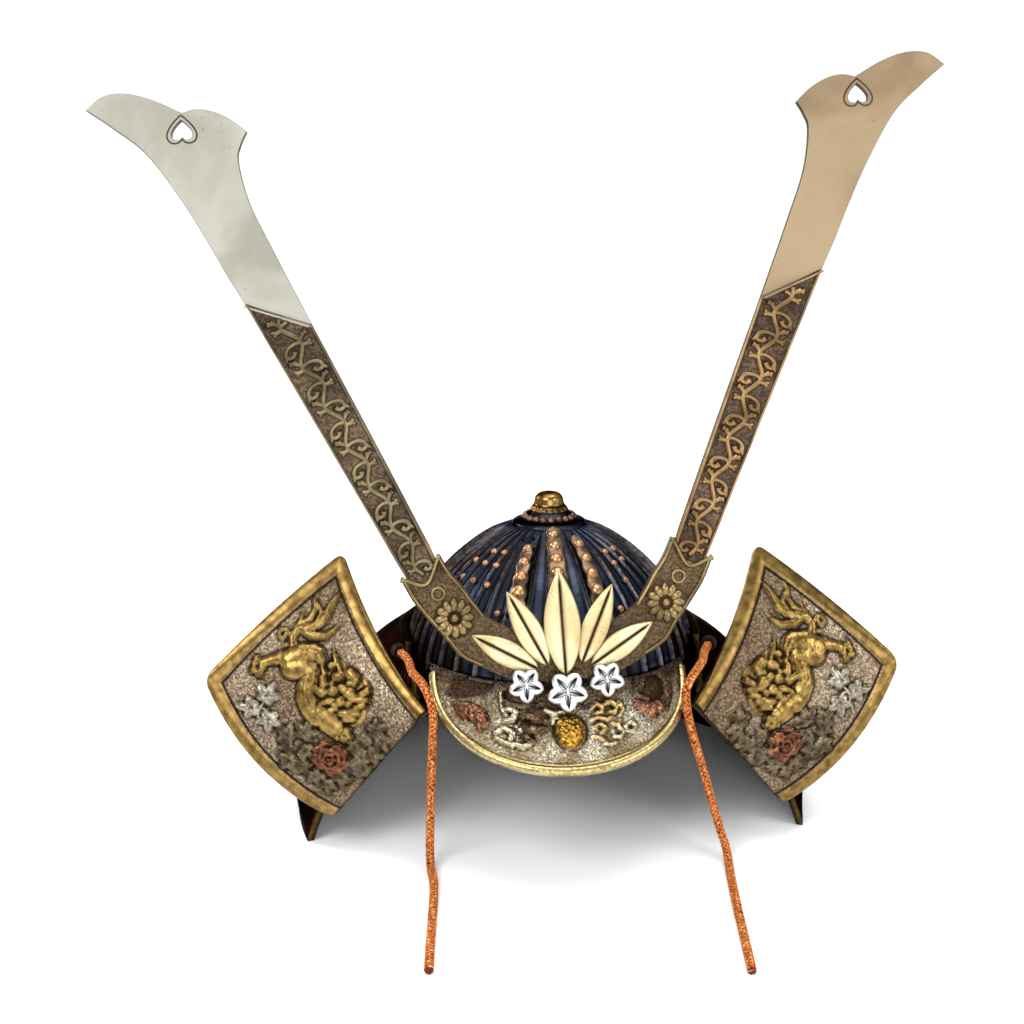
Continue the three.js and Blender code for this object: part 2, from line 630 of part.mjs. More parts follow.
function makeHorn() {
  const shape = hornOutline(0);
  const heartCentre = hornPoint(heartPlace);
  const heart = heartOutline(heartSize);
  const heartPoints = heart.getPoints(3).map((p) => p.clone()
    .rotateAround(new THREE.Vector2(), hornSplay).add(heartCentre));
  shape.holes.push(new THREE.Path(heartPoints.slice(0, -1)));
  const pieces = [toSolid(extrudeFrom(shape, hornFace - hornThick, hornFace))];
  // Scrolls on the shaft: a wavy stem with a curl at each bend, and a border line at each side
  const low = hornFace - hornThick / 2;
  const high = hornFace + scrollRaise;
  const start = scrollStart * hornLength;
  const end = scrollEnd * hornLength;
  const waveHalf = 0.2 * shaftWidth;
  const stem = [];
  for (let i = 0; i <= 2 * scrollCount; i += 1) {
    const share = i / (2 * scrollCount);
    stem.push([waveHalf * Math.sin(i * Math.PI / 2), mix(start, end, share)]);
  }
  pieces.push(ridge(stem, scrollWidth, low, high, 2 * scrollCount));
  for (let i = 0; i < scrollCount; i += 1) {
    const side = i % 2 ? -1 : 1;
    const bend = mix(start, end, (i + 0.5) / scrollCount);
    const curl = [];
    for (let k = 0; k <= 4; k += 1) {
      const angle = k / 4 * 1.5 * Math.PI;
      const radius = mix(0.26, 0.1, k / 4) * shaftWidth;
      curl.push([side * (-0.12 * shaftWidth + radius * Math.cos(angle)), bend + radius * Math.sin(angle)]);
    }
    pieces.push(ridge(curl, scrollWidth, low, high, 4));
  }
  const inner = hornPoint(hornInner[hornInner.length - 1]);
  const outer = hornPoint(hornOuter[0]);
  const line = (from, to) => ridge([from, to], scrollWidth, low, hornFace + lineRaise, 1);
  for (const [side, head] of [[-1, inner], [1, outer]]) {
    const foot = [side * (shaftWidth / 2 - lineInset), lineInset];
    pieces.push(line(foot, [head.x - side * lineInset, head.y - 2 * lineInset]));
  }
  pieces.push(line([inner.x + lineInset / 2, inner.y], [outer.x - lineInset / 2, outer.y]));
  return tidy(toGeometry(join(pieces)).applyMatrix4(hornFrame()));
}

function makeHornBase() {
  const shape = new THREE.Shape();
  const right = [armOuter, armCusps, armInner].flatMap((rows) => basePoints(rows, 1));
  const left = [armOuter, armCusps, armInner].flatMap((rows) => basePoints(rows, -1)).reverse();
  shape.moveTo(0, -baseDepth);
  for (const point of [...right, [0, 0.14 * baseRise], ...left]) shape.lineTo(...point);
  shape.closePath();
  let solid = toSolid(extrudeFrom(shape, -baseThick, 0));
  const pieces = [];
  for (const sign of [-1, 1]) {
    const centre = [sign * 0.672 * baseSpan, 0.422 * baseRise];
    for (let i = 0; i < petalCount; i += 1) {
      const angle = i * 2 * Math.PI / petalCount;
      const reach = 0.66 * rosetteRadius;
      pieces.push(lump(flat(centre[0] + reach * Math.cos(angle), centre[1] + reach * Math.sin(angle)),
        0.68 * rosetteRadius, 0.4 * rosetteRadius, 1.1, angle, 4, 2));
    }
    pieces.push(lump(flat(...centre), 0.56 * rosetteRadius, 0.56 * rosetteRadius, 1.3));
    pieces.push(lump(flat(sign * 0.766 * baseSpan, 0.643 * baseRise), 4, 4, 0.8, 0, 8));
    pieces.push(ridge(basePoints(armCusps, sign * 0.985), 1.3, -baseThick / 4, 0.6, 10));
  }
  solid = join([solid, ...pieces]);
  const socket = extrudeFrom(hornOutline(clearance), hornFace - hornThick - clearance, hornFace + clearance);
  const rightSocket = toSolid(socket.clone().applyMatrix4(hornFrame()));
  const leftSocket = toSolid(socket.applyMatrix4(hornFrame()).applyMatrix4(mirrorX));
  return toGeometry(solid.subtract(rightSocket).subtract(leftSocket));
}

// Crest leaves: foot and lean of each leaf, its size as a share of the centre one, and its layer
const leafRows = [
  { foot: 0.26, drop: 0.08, lean: 1.03, size: 0.72, layer: 0 },
  { foot: 0.165, drop: 0.05, lean: 0.44, size: 0.81, layer: 0.35 },
];
const leafOutline = [
  { along: 0.12, across: 0.3 }, { along: 0.3, across: 0.47 }, { along: 0.48, across: 0.5 },
  { along: 0.68, across: 0.4 }, { along: 0.86, across: 0.2 },
];

function makeLeaf(length, width) {
  const shape = new THREE.Shape();
  shape.moveTo(0, 0);
  for (const row of leafOutline) shape.lineTo(row.across * width, row.along * length);
  shape.lineTo(0, length);
  for (const row of [...leafOutline].reverse()) shape.lineTo(-row.across * width, row.along * length);
  shape.closePath();
  const blade = toSolid(extrudeFrom(shape, 0, leafThick));
  const groove = ridge([[0, 0.1 * length], [0, 0.93 * length]], 0.8, 0.55 * leafThick, 2 * leafThick, 1);
  return blade.subtract(groove);
}

function makeCrestLeaves() {
  const lift = clearance;
  const place = (solid, x, y, z, turn) => solid.rotate([0, 0, THREE.MathUtils.radToDeg(turn)])
    .translate([x, y, z]);
  const pieces = [place(makeLeaf(leafLength, leafWidth), 0, -0.15 * leafLength, lift + 0.7 * leafThick, 0)];
  for (const row of leafRows) {
    for (const sign of [-1, 1]) {
      pieces.push(place(makeLeaf(leafLength * row.size, leafWidth * 0.72), sign * row.foot * leafLength,
        -row.drop * leafLength, lift + row.layer * leafThick, -sign * row.lean));
    }
  }
  const heart = extrudeFrom(new THREE.Shape().absellipse(0, 0.02 * leafLength, 0.27 * leafLength,
    0.14 * leafLength, 0, 2 * Math.PI), lift, lift + leafThick);
  pieces.push(toSolid(heart));
  return toGeometry(join(pieces));
}

// Star flower with five petals. A side flower has a short stem down to the horn base, and the
// centre one lies on the foot of the centre leaf.
const flowerPlaces = [
  { name: 'left', side: -0.255, down: 1.06, lift: 1 },
  { name: 'centre', side: 0, down: 1.47, lift: 1.7 },
  { name: 'right', side: 0.255, down: 1.06, lift: 1 },
];
function makeFlower(lift, hasStem) {
  const shape = new THREE.Shape();
  for (let i = 0; i < 5; i += 1) {
    const aim = Math.PI / 2 + (i + 0.5) * 2 * Math.PI / 5;
    for (const [turn, reach] of [[-0.42, 0.86], [0, 1], [0.42, 0.86], [Math.PI / 5, 0.62]]) {
      const put = i === 0 && turn === -0.42 ? 'moveTo' : 'lineTo';
      shape[put](reach * flowerRadius * Math.cos(aim + turn), reach * flowerRadius * Math.sin(aim + turn));
    }
  }
  shape.closePath();
  const top = lift + flowerThick;
  const pieces = [toSolid(extrudeFrom(shape, lift, top))];
  pieces.push(lump(flat(0, 0, top), 0.3 * flowerRadius, 0.5 * flowerRadius, 0.45 * flowerThick));
  if (hasStem) {
    const round = new THREE.Shape().absellipse(0, 0.3 * flowerRadius, stemRadius, stemRadius, 0, 2 * Math.PI);
    pieces.push(toSolid(extrudeFrom(round, clearance, lift + flowerThick / 2)));
  }
  return toGeometry(join(pieces));
}

// Cord routes, right and left, from the eye to the free end, laid forward on the surface
const cordRoutes = {
  left: [
    [-53.8, -25.5, 65.5], [-51.3, -32, 65.3], [-49.6, -40, 63.5], [-46.5, -47.5, 62.6], [-44.3, -52.6, 60],
    [-43.1, -54, 56], [-42.8, -54, 51], [-43.3, -53.8, 43], [-43.8, -53.5, 32], [-44.4, -53.2, 20],
    [-44.8, -53.3, 10], [-44.9, -55.8, 4.6], [-44.6, -61, 2], [-43.8, -69, 1.6], [-43.7, -78, 1.6],
    [-44.2, -93, 1.6], [-44.8, -108, 1.6], [-45.2, -121.5, 1.6],
  ],
  right: [
    [53.8, -25.5, 65.5], [51.3, -32, 65.3], [49.2, -40, 65], [46, -47, 64.5], [43, -52.4, 63.2],
    [41.2, -54, 60], [41.2, -54, 56], [42.4, -53.8, 49], [44.6, -53.5, 41], [47.7, -53.2, 31],
    [51, -53, 19], [54, -53.5, 9], [55.4, -56, 4.4], [55.3, -62, 1.9], [54.4, -69, 1.6],
    [53.1, -80, 1.6], [51.6, -94, 1.6], [49.9, -112, 1.6], [48.3, -128, 1.6],
  ],
};

function makeCord(points) {
  const path = points.map((point) => vec(...point));
  return tidy(sweepTube(path, cordDiameter / 2, 8, 26));
}

// Plain ring on the neck guard's shoulder, hidden behind the plate
function makeCordEye(points) {
  const [start, next] = points.slice(0, 2).map((point) => vec(...point));
  const aim = start.clone().sub(next).normalize();
  const hole = 0.4 * eyeRadius;
  const outline = [[hole, 0], [eyeRadius, 0], [eyeRadius, eyeLength], [hole, eyeLength], [hole, 0]]
    .map(([radius, along]) => new THREE.Vector2(radius, along));
  const ring = new THREE.LatheGeometry(outline, 12);
  const turn = new THREE.Quaternion().setFromUnitVectors(vec(0, 1, 0), aim);
  ring.applyQuaternion(turn);
  const seat = start.clone().addScaledVector(aim, clearance);
  return tidy(ring.translate(seat.x, seat.y, seat.z));
}

// Plain tab between the bowl and the horn base, standing on the visor
function makeCrestPost() {
  const back = -baseThick - clearance;
  const tab = new THREE.BoxGeometry(postWidth, postHeight, postThick);
  return tab.translate(0, -postDrop, back - postThick / 2);
}

const group = new THREE.Group();
const helmet = new THREE.Group();
helmet.position.set(shiftX, shiftY, 0);
group.add(helmet);

const crest = new THREE.Group();
crest.position.set(0, -crestFront, crestHeight);
crest.rotation.set(Math.PI / 2 - crestLean, 0, crestTilt);
helmet.add(crest);

function addMesh(parent, name, geometry, finish) {
  const shaded = geometry.clone();
  shaded.computeVertexNormals();
  const mesh = new THREE.Mesh(shaded, new THREE.MeshStandardMaterial(finishes[finish]));
  mesh.name = name;
  parent.add(mesh);
  return mesh;
}

const mirrored = (geometry) => tidy(geometry.clone().applyMatrix4(mirrorX));

addMesh(helmet, 'bowl', makeBowl(), 'blueBlack');
addMesh(helmet, 'crown_knob', makeKnob(), 'knobBrass');
addMesh(helmet, 'neck_guard', makeNeckGuard(), 'darkBrown');
addMesh(helmet, 'visor', makeVisor(), 'visorBrass');

const plate = makePlate();
addMesh(helmet, 'turnback_right', plate, 'plateBrass');
addMesh(helmet, 'turnback_left', mirrored(plate), 'plateBrass');

addMesh(crest, 'horn_base', makeHornBase(), 'baseBrass');
addMesh(crest, 'crest_post', makeCrestPost(), 'baseBrass');
addMesh(crest, 'crest_leaves', makeCrestLeaves(), 'paleLeaf');
const horn = makeHorn();
addMesh(crest, 'horn_right', horn, 'paleHorn');
addMesh(crest, 'horn_left', mirrored(horn), 'paleHorn');
for (const place of flowerPlaces) {
  const lift = 2 * clearance + place.lift * leafThick;
  const flower = addMesh(crest, `flower_${place.name}`, makeFlower(lift, place.side !== 0), 'silver');
  flower.position.set(place.side * baseSpan, -place.down * baseDepth, 0);
}

for (const [side, points] of Object.entries(cordRoutes)) {
  addMesh(helmet, `cord_${side}`, makeCord(points), 'orangeCord');
  addMesh(helmet, `cord_eye_${side}`, makeCordEye(points), 'knobBrass');
}

export default group;
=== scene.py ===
# Ornamental kabuto: ribbed bowl, turned-back plates, tall flat horns and two orange cords.
import math
import bmesh
import bpy
import numpy as np
from mathutils import Matrix, Vector


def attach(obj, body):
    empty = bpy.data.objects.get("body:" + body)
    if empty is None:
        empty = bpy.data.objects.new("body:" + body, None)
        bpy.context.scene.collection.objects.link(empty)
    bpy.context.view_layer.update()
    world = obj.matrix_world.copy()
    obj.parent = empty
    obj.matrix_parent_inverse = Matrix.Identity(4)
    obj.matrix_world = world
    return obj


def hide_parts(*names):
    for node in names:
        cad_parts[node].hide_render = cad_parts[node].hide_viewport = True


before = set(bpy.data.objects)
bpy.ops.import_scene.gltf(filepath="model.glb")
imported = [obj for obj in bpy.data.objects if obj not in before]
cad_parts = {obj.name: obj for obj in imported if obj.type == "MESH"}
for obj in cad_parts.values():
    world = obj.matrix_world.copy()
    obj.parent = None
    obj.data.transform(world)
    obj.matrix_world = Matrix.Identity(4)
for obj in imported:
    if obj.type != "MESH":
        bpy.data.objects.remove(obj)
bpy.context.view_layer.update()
scene = bpy.context.scene
print("stage: frame loaded")

# Shapes are worked out in millimetres round the bowl's centre, and moved at the very end.
mm = 0.001
shiftX, shiftY = 9.39, -7.0


# Camera and lights
cameraSetup = {
    "place": (-0.0299, -0.4862, 0.2243),
    "yaw": 3.1,
    "pitch": 13.53,
    "roll": 0.45,
    "lens": 48.26,
}
photoSize = {"width": 1024, "sensor": 36}
lightSetup = [
    {"name": "keySoftbox", "place": (-0.75, -0.95, 1.15), "aim": (0, 0, 0.1), "size": 0.9, "power": 15.5},
    {"name": "fillSoftbox", "place": (1.0, -0.75, 0.65), "aim": (0, 0, 0.1), "size": 0.8, "power": 8},
    {"name": "topSoftbox", "place": (0.1, 0.15, 1.35), "aim": (0, 0, 0.1), "size": 1.0, "power": 12.5},
    {"name": "lowFront", "place": (0.1, -1.3, 0.3), "aim": (0, 0, 0.02), "size": 0.8, "power": 6},
    {"name": "rimStrip", "place": (-0.9, 0.55, 0.55), "aim": (0, 0, 0.12), "size": 0.5, "power": 7},
]


def cameraAxes(setup):
    yaw, pitch, roll = (math.radians(setup[key]) for key in ("yaw", "pitch", "roll"))
    ahead = Vector((math.sin(yaw) * math.cos(pitch), math.cos(yaw) * math.cos(pitch), -math.sin(pitch)))
    level = Vector((math.cos(yaw), -math.sin(yaw), 0))
    down = ahead.cross(level)
    right = math.cos(roll) * level + math.sin(roll) * down
    return right, ahead.cross(right), ahead


def setCamera(setup):
    right, down, ahead = cameraAxes(setup)
    camera = bpy.data.objects.new("camera", bpy.data.cameras.new("camera"))
    scene.collection.objects.link(camera)
    turn = Matrix((right, -down, -ahead)).transposed().to_4x4()
    camera.matrix_world = Matrix.Translation(setup["place"]) @ turn
    camera.data.lens = setup["lens"]
    camera.data.clip_start = 0.01
    scene.camera = camera


def setLights(rows):
    for row in rows:
        light = bpy.data.lights.new(row["name"], "AREA")
        light.energy = row["power"]
        light.size = row["size"]
        holder = bpy.data.objects.new(row["name"], light)
        scene.collection.objects.link(holder)
        holder.location = row["place"]
        aim = Vector(row["aim"]) - Vector(row["place"])
        holder.rotation_euler = aim.to_track_quat("-Z", "Y").to_euler()


setCamera(cameraSetup)
setLights(lightSetup)
scene.view_settings.view_transform = "Standard"
world = bpy.data.worlds.new("studio")
world.use_nodes = True
world.node_tree.nodes["Background"].inputs[0].default_value = (0.93, 0.96, 1.0, 1)
world.node_tree.nodes["Background"].inputs[1].default_value = 0.6
scene.world = world


# Node helpers, for materials and for geometry
def put(tree, value, socket):
    if isinstance(value, bpy.types.NodeSocket):
        tree.links.new(value, socket)
    else:
        socket.default_value = value


def maths(tree, operation, *values, clamp=False):
    node = tree.nodes.new("ShaderNodeMath")
    node.operation = operation
    node.use_clamp = clamp
    for socket, value in zip(node.inputs, values):
        put(tree, value, socket)
    return node.outputs[0]


def blendColours(tree, share, first, second, kind="MIX"):
    node = tree.nodes.new("ShaderNodeMix")
    node.data_type = "RGBA"
    node.blend_type = kind
    for index, value in ((0, share), (6, first), (7, second)):
        put(tree, rgba(value) if isinstance(value, tuple) else value, node.inputs[index])
    return node.outputs[2]


def rgba(colour):
    return (*colour[:3], 1.0)


def ramp(tree, value, low, high):
    node = tree.nodes.new("ShaderNodeMapRange")
    node.interpolation_type = "SMOOTHSTEP"
    for index, item in ((0, value), (1, low), (2, high)):
        put(tree, item, node.inputs[index])
    return node.outputs[0]


def newGroup(name, inputs, outputs):
    group = bpy.data.node_groups.new(name, "ShaderNodeTree")
    for kind, rows in (("INPUT", inputs), ("OUTPUT", outputs)):
        for label, socketType, default in rows:
            socket = group.interface.new_socket(label, in_out=kind, socket_type="NodeSocket" + socketType)
            if default is not None:
                socket.default_value = default
    return group, group.nodes.new("NodeGroupInput").outputs, group.nodes.new("NodeGroupOutput").inputs


def noiseAt(tree, place, scale, detail=3.0, distortion=0.0):
    node = tree.nodes.new("ShaderNodeTexNoise")
    tree.links.new(place, node.inputs["Vector"])
    put(tree, scale, node.inputs["Scale"])
    node.inputs["Detail"].default_value = detail
    node.inputs["Distortion"].default_value = distortion
    return node.outputs[0]


def attribute(tree, name):
    node = tree.nodes.new("ShaderNodeAttribute")
    node.attribute_name = name
    return node.outputs["Fac"]


# Tarnish and painted shade: broad cloudy tone between two metal colours, and a dark tone where the surface is
# low, partly grime and partly painted shade in the hollows
def makeTarnishAndShadeGroup():
    group, given, wanted = newGroup("tarnishAndShade", [
        ("Light", "Color", (0.6, 0.5, 0.3, 1)), ("Dark", "Color", (0.3, 0.2, 0.1, 1)),
        ("Grime", "Color", (0.05, 0.03, 0.02, 1)), ("Clouds", "Float", 60.0),
        ("Grime amount", "Float", 1.0), ("Smooth", "Float", 0.3), ("Rough", "Float", 0.55),
        ("Specks", "Float", 0.35),
    ], [("Color", "Color", None), ("Roughness", "Float", None), ("Height", "Float", None)])
    place = group.nodes.new("ShaderNodeTexCoord").outputs["Object"]
    clouds = ramp(group, noiseAt(group, place, given["Clouds"], 4.0, 0.4), 0.36, 0.66)
    grain = noiseAt(group, place, maths(group, "MULTIPLY", given["Clouds"], 14.0), 3.0)
    colour = blendColours(group, clouds, given["Light"], given["Dark"])
    speck = maths(group, "MULTIPLY", ramp(group, grain, 0.55, 0.8), given["Specks"])
    colour = blendColours(group, speck, colour, given["Grime"])
    # Painted shade: where the cavity attribute marks low places the colour goes towards the Grime colour, partly
    # grime and partly shade
    low = maths(group, "MULTIPLY", attribute(group, "cavity"), given["Grime amount"], clamp=True)
    colour = blendColours(group, low, colour, given["Grime"])
    span = maths(group, "SUBTRACT", given["Rough"], given["Smooth"])
    wear = maths(group, "MULTIPLY_ADD", clouds, 0.6, maths(group, "MULTIPLY", grain, 0.4))
    group.links.new(colour, wanted["Color"])
    put(group, maths(group, "MULTIPLY_ADD", span, wear, given["Smooth"]), wanted["Roughness"])
    put(group, grain, wanted["Height"])
    return group


# Stipple: the punched, leathery ground of the cast panels
def makeStippleGroup():
    group, given, wanted = newGroup("stipple", [("Scale", "Float", 900.0)],
                                    [("Height", "Float", None), ("Pits", "Float", None)])
    place = group.nodes.new("ShaderNodeTexCoord").outputs["Object"]
    cells = group.nodes.new("ShaderNodeTexVoronoi")
    cells.feature = "SMOOTH_F1"
    group.links.new(place, cells.inputs["Vector"])
    put(group, given["Scale"], cells.inputs["Scale"])
    worm = noiseAt(group, place, maths(group, "MULTIPLY", given["Scale"], 0.9), 1.0, 1.2)
    bumps = maths(group, "SUBTRACT", 1.0, cells.outputs["Distance"])
    height = maths(group, "MULTIPLY_ADD", bumps, 0.55, maths(group, "MULTIPLY", worm, 0.6))
    put(group, height, wanted["Height"])
    put(group, ramp(group, height, 0.74, 0.52), wanted["Pits"])
    return group


# Pits: a few small dark casting holes
def makePitGroup():
    group, given, wanted = newGroup("castingPits", [("Scale", "Float", 300.0), ("Size", "Float", 0.16)],
                                    [("Mask", "Float", None)])
    place = group.nodes.new("ShaderNodeTexCoord").outputs["Object"]
    cells = group.nodes.new("ShaderNodeTexVoronoi")
    group.links.new(place, cells.inputs["Vector"])
    put(group, given["Scale"], cells.inputs["Scale"])
    spot = maths(group, "LESS_THAN", cells.outputs["Distance"], given["Size"])
    patchy = ramp(group, noiseAt(group, place, maths(group, "MULTIPLY", given["Scale"], 0.22), 2.0), 0.5, 0.62)
    put(group, maths(group, "MULTIPLY", spot, patchy), wanted["Mask"])
    return group


tarnishAndShadeGroup = makeTarnishAndShadeGroup()
stippleGroup = makeStippleGroup()
pitGroup = makePitGroup()


def useGroup(tree, group, **values):
    node = tree.nodes.new("ShaderNodeGroup")
    node.node_tree = group
    for key, value in values.items():
        label = key.replace("_", " ")
        put(tree, rgba(value) if isinstance(value, tuple) else value, node.inputs[label])
    return node.outputs


def makeMetal(name, look):
    material = bpy.data.materials.new(name)
    material.use_nodes = True
    tree = material.node_tree
    shader = tree.nodes["Principled BSDF"]
    tarnishAndShade = useGroup(tree, tarnishAndShadeGroup, Light=look["light"], Dark=look["dark"], Grime=look["grimeAndShade"],
                       Clouds=look.get("clouds", 60.0), Grime_amount=look.get("grimeAndShadeAmount", 1.0),
                       Smooth=look["rough"][0], Rough=look["rough"][1], Specks=look.get("specks", 0.35))
    colour = tarnishAndShade["Color"]
    height = maths(tree, "MULTIPLY", tarnishAndShade["Height"], look.get("grain", 0.25))
    for label, tone in look.get("tones", {}).items():
        share = attribute(tree, label)
        # Painted shade: each tone also darkens towards the grime colour where the cavity attribute marks low
        # places, partly grime and partly shade
        low = maths(tree, "MULTIPLY", attribute(tree, "cavity"), 1.1, clamp=True)
        shade = ramp(tree, tarnishAndShade["Height"], 0.3, 0.7)
        colour = blendColours(tree, share, colour, blendColours(
            tree, low, blendColours(tree, shade, tone[0], tone[1]), look["grimeAndShade"]))
    if "stipple" in look:
        stipple = useGroup(tree, stippleGroup, Scale=look["stipple"])
        ground = attribute(tree, "ground") if look.get("groundMask") else 1.0
        pits = maths(tree, "MULTIPLY", stipple["Pits"], look.get("pitTone", 0.7))
        pits = maths(tree, "MULTIPLY", pits, ground)
        colour = blendColours(tree, pits, colour, look["grimeAndShade"])
        raised = maths(tree, "MULTIPLY", maths(tree, "MULTIPLY", stipple["Height"], ground), 1.6)
        height = maths(tree, "ADD", height, raised)
    if "pits" in look:
        pits = useGroup(tree, pitGroup, Scale=look["pits"][0], Size=look["pits"][1])["Mask"]
        colour = blendColours(tree, maths(tree, "MULTIPLY", pits, 0.8), colour, look["grimeAndShade"])
        height = maths(tree, "SUBTRACT", height, maths(tree, "MULTIPLY", pits, 0.8))
    bump = tree.nodes.new("ShaderNodeBump")
    bump.inputs["Strength"].default_value = look.get("bump", 0.6)
    bump.inputs["Distance"].default_value = 0.0003
    put(tree, height, bump.inputs["Height"])
    tree.links.new(bump.outputs[0], shader.inputs["Normal"])
    tree.links.new(colour, shader.inputs["Base Color"])
    tree.links.new(tarnishAndShade["Roughness"], shader.inputs["Roughness"])
    shader.inputs["Metallic"].default_value = look.get("metallic", 0.75)
    shader.inputs["Specular Tint"].default_value = rgba(look.get("edgeTint", (1.0, 1.0, 1.0)))
    return material


# Mesh helpers
# Reads every column of a table at the given places of its first column
def smoothTable(rows, at):
    rows = np.asarray(rows, float)
    keys = rows[:, 0]
    i = np.clip(np.searchsorted(keys, at, side="left") - 1, 0, len(keys) - 2)
    before, start = np.maximum(i - 1, 0), i
    end, after = i + 1, np.minimum(i + 2, len(keys) - 1)
    span = (keys[end] - keys[start])[..., None]
    t = ((at - keys[start]) / span[..., 0])[..., None]
    slopeIn = (rows[end] - rows[before]) / (keys[end] - keys[before])[..., None] * span
    slopeOut = (rows[after] - rows[start]) / (keys[after] - keys[start])[..., None] * span
    value = ((2 * t**3 - 3 * t**2 + 1) * rows[start] + (t**3 - 2 * t**2 + t) * slopeIn
             + (3 * t**2 - 2 * t**3) * rows[end] + (t**3 - t**2) * slopeOut)
    return [value[..., k] for k in range(1, rows.shape[1])]


# A Catmull-Rom line through points, with the given number of steps between two of them
def smoothLine(points, steps):
    points = np.asarray(points, float)
    keys = np.arange(len(points))
    at = np.linspace(0, len(points) - 1, steps * (len(points) - 1) + 1)
    return np.stack(smoothTable(np.column_stack([keys, points]), at), axis=-1)


def unit(vectors):
    return vectors / np.maximum(np.linalg.norm(vectors, axis=-1, keepdims=True), 1e-12)


# Merges, turns the faces outwards, shades, and puts the piece on the helmet
def finishMesh(name, mesh, materials, node, smooth=40.0):
    work = bmesh.new()
    work.from_mesh(mesh)
    bmesh.ops.remove_doubles(work, verts=work.verts, dist=2e-6)
    bmesh.ops.dissolve_degenerate(work, edges=work.edges, dist=1e-6)
    bmesh.ops.recalc_face_normals(work, faces=work.faces)
    work.to_mesh(mesh)
    work.free()
    for material in materials:
        mesh.materials.append(material)
    mesh.shade_smooth()
    if smooth < 180:
        mesh.set_sharp_from_angle(angle=math.radians(smooth))
    piece = bpy.data.objects.new(name, mesh)
    scene.collection.objects.link(piece)
    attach(piece, "root")
    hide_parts(node)
    return piece


def toMetres(points, crestFrame=False):
    points = np.asarray(points, float).reshape(-1, 3)
    if crestFrame:
        turn = np.array(crestTurn)
        points = points @ turn.T + np.array(crestFoot)
    return (points + (shiftX, shiftY, 0)) * mm


# Where the camera sees points of the helmet: pixels of the photo, and pixels to a millimetre there
def photoPlaces(points):
    right, down, ahead = (np.array(axis) for axis in cameraAxes(cameraSetup))
    away = (points + (shiftX, shiftY, 0)) * mm - np.array(cameraSetup["place"])
    depth = away @ ahead
    span = photoSize["width"] * cameraSetup["lens"] / photoSize["sensor"]
    seen = np.stack([away @ right, away @ down], axis=-1) * (span / depth)[..., None]
    return seen + photoSize["width"] / 2, span / depth * mm


# Reads points (x, y, radius) drawn over an enlarged crop of the photo as places on a surface, in its own
# two directions, with the radius in millimetres. A crop is its left and top pixel and its enlargement.
def readTracing(paths, crop, grid, across, along):
    seen, scale = photoPlaces(grid)
    left, top, zoom = crop
    found = []
    for path in paths:
        found.append([])
        for x, y, radius in path:
            off = np.hypot(seen[..., 0] - left - x / zoom, seen[..., 1] - top - y / zoom)
            best = np.unravel_index(np.argmin(off), off.shape)
            found[-1].append((across[best], along[best], radius / zoom / scale[best]))
    return found


def gridFaces(rows, columns, start=0, flip=False):
    r, c = np.meshgrid(np.arange(rows - 1), np.arange(columns - 1), indexing="ij")
    corner = (start + r * columns + c).ravel()
    faces = np.column_stack([corner, corner + 1, corner + columns + 1, corner + columns])
    return faces[:, ::-1] if flip else faces


def storeFloats(mesh, label, values):
    store = mesh.attributes.new(label, "FLOAT", "POINT")
    store.data.foreach_set("value", np.ravel(values).astype(np.float32))


# A closed wall between two grids of points; the masks are floats on the face's grid
def wallMesh(name, face, back, masks=None, wraps=False, crestFrame=False):
    rows, columns = face.shape[:2]
    points = toMetres(np.concatenate([face.reshape(-1, 3), back.reshape(-1, 3)]), crestFrame)
    size = rows * columns
    faces = [gridFaces(rows, columns), gridFaces(rows, columns, size, True)]
    edge = [np.arange(columns), size - columns + np.arange(columns)]
    if not wraps:
        edge += [np.arange(rows) * columns, np.arange(rows) * columns + columns - 1]
    for line in edge:
        faces.append(np.column_stack([line[:-1], line[1:], line[1:] + size, line[:-1] + size]))
    faces = np.concatenate(faces)
    mesh = bpy.data.meshes.new(name)
    mesh.from_pydata(points, [], faces)
    for label, values in (masks or {}).items():
        # Painted shade: the back grid gets a fixed cavity of 0.25, so backs and undersides come out darker
        behind = np.full(size, 0.25 if label == "cavity" else 0.0)
        storeFloats(mesh, label, np.concatenate([np.ravel(values), behind]))
    return mesh


def blurred(height, times):
    for _ in range(times):
        padded = np.pad(height, 1, mode="edge")
        height = (padded[:-2, 1:-1] + padded[2:, 1:-1] + padded[1:-1, :-2] + padded[1:-1, 2:]
                  + 2 * height) / 6
    return height


# 1 where the surface is the given depth below what surrounds it
def lowPlaces(height, times, depth):
    return np.clip((blurred(height, times) - height) / depth, 0, 1)


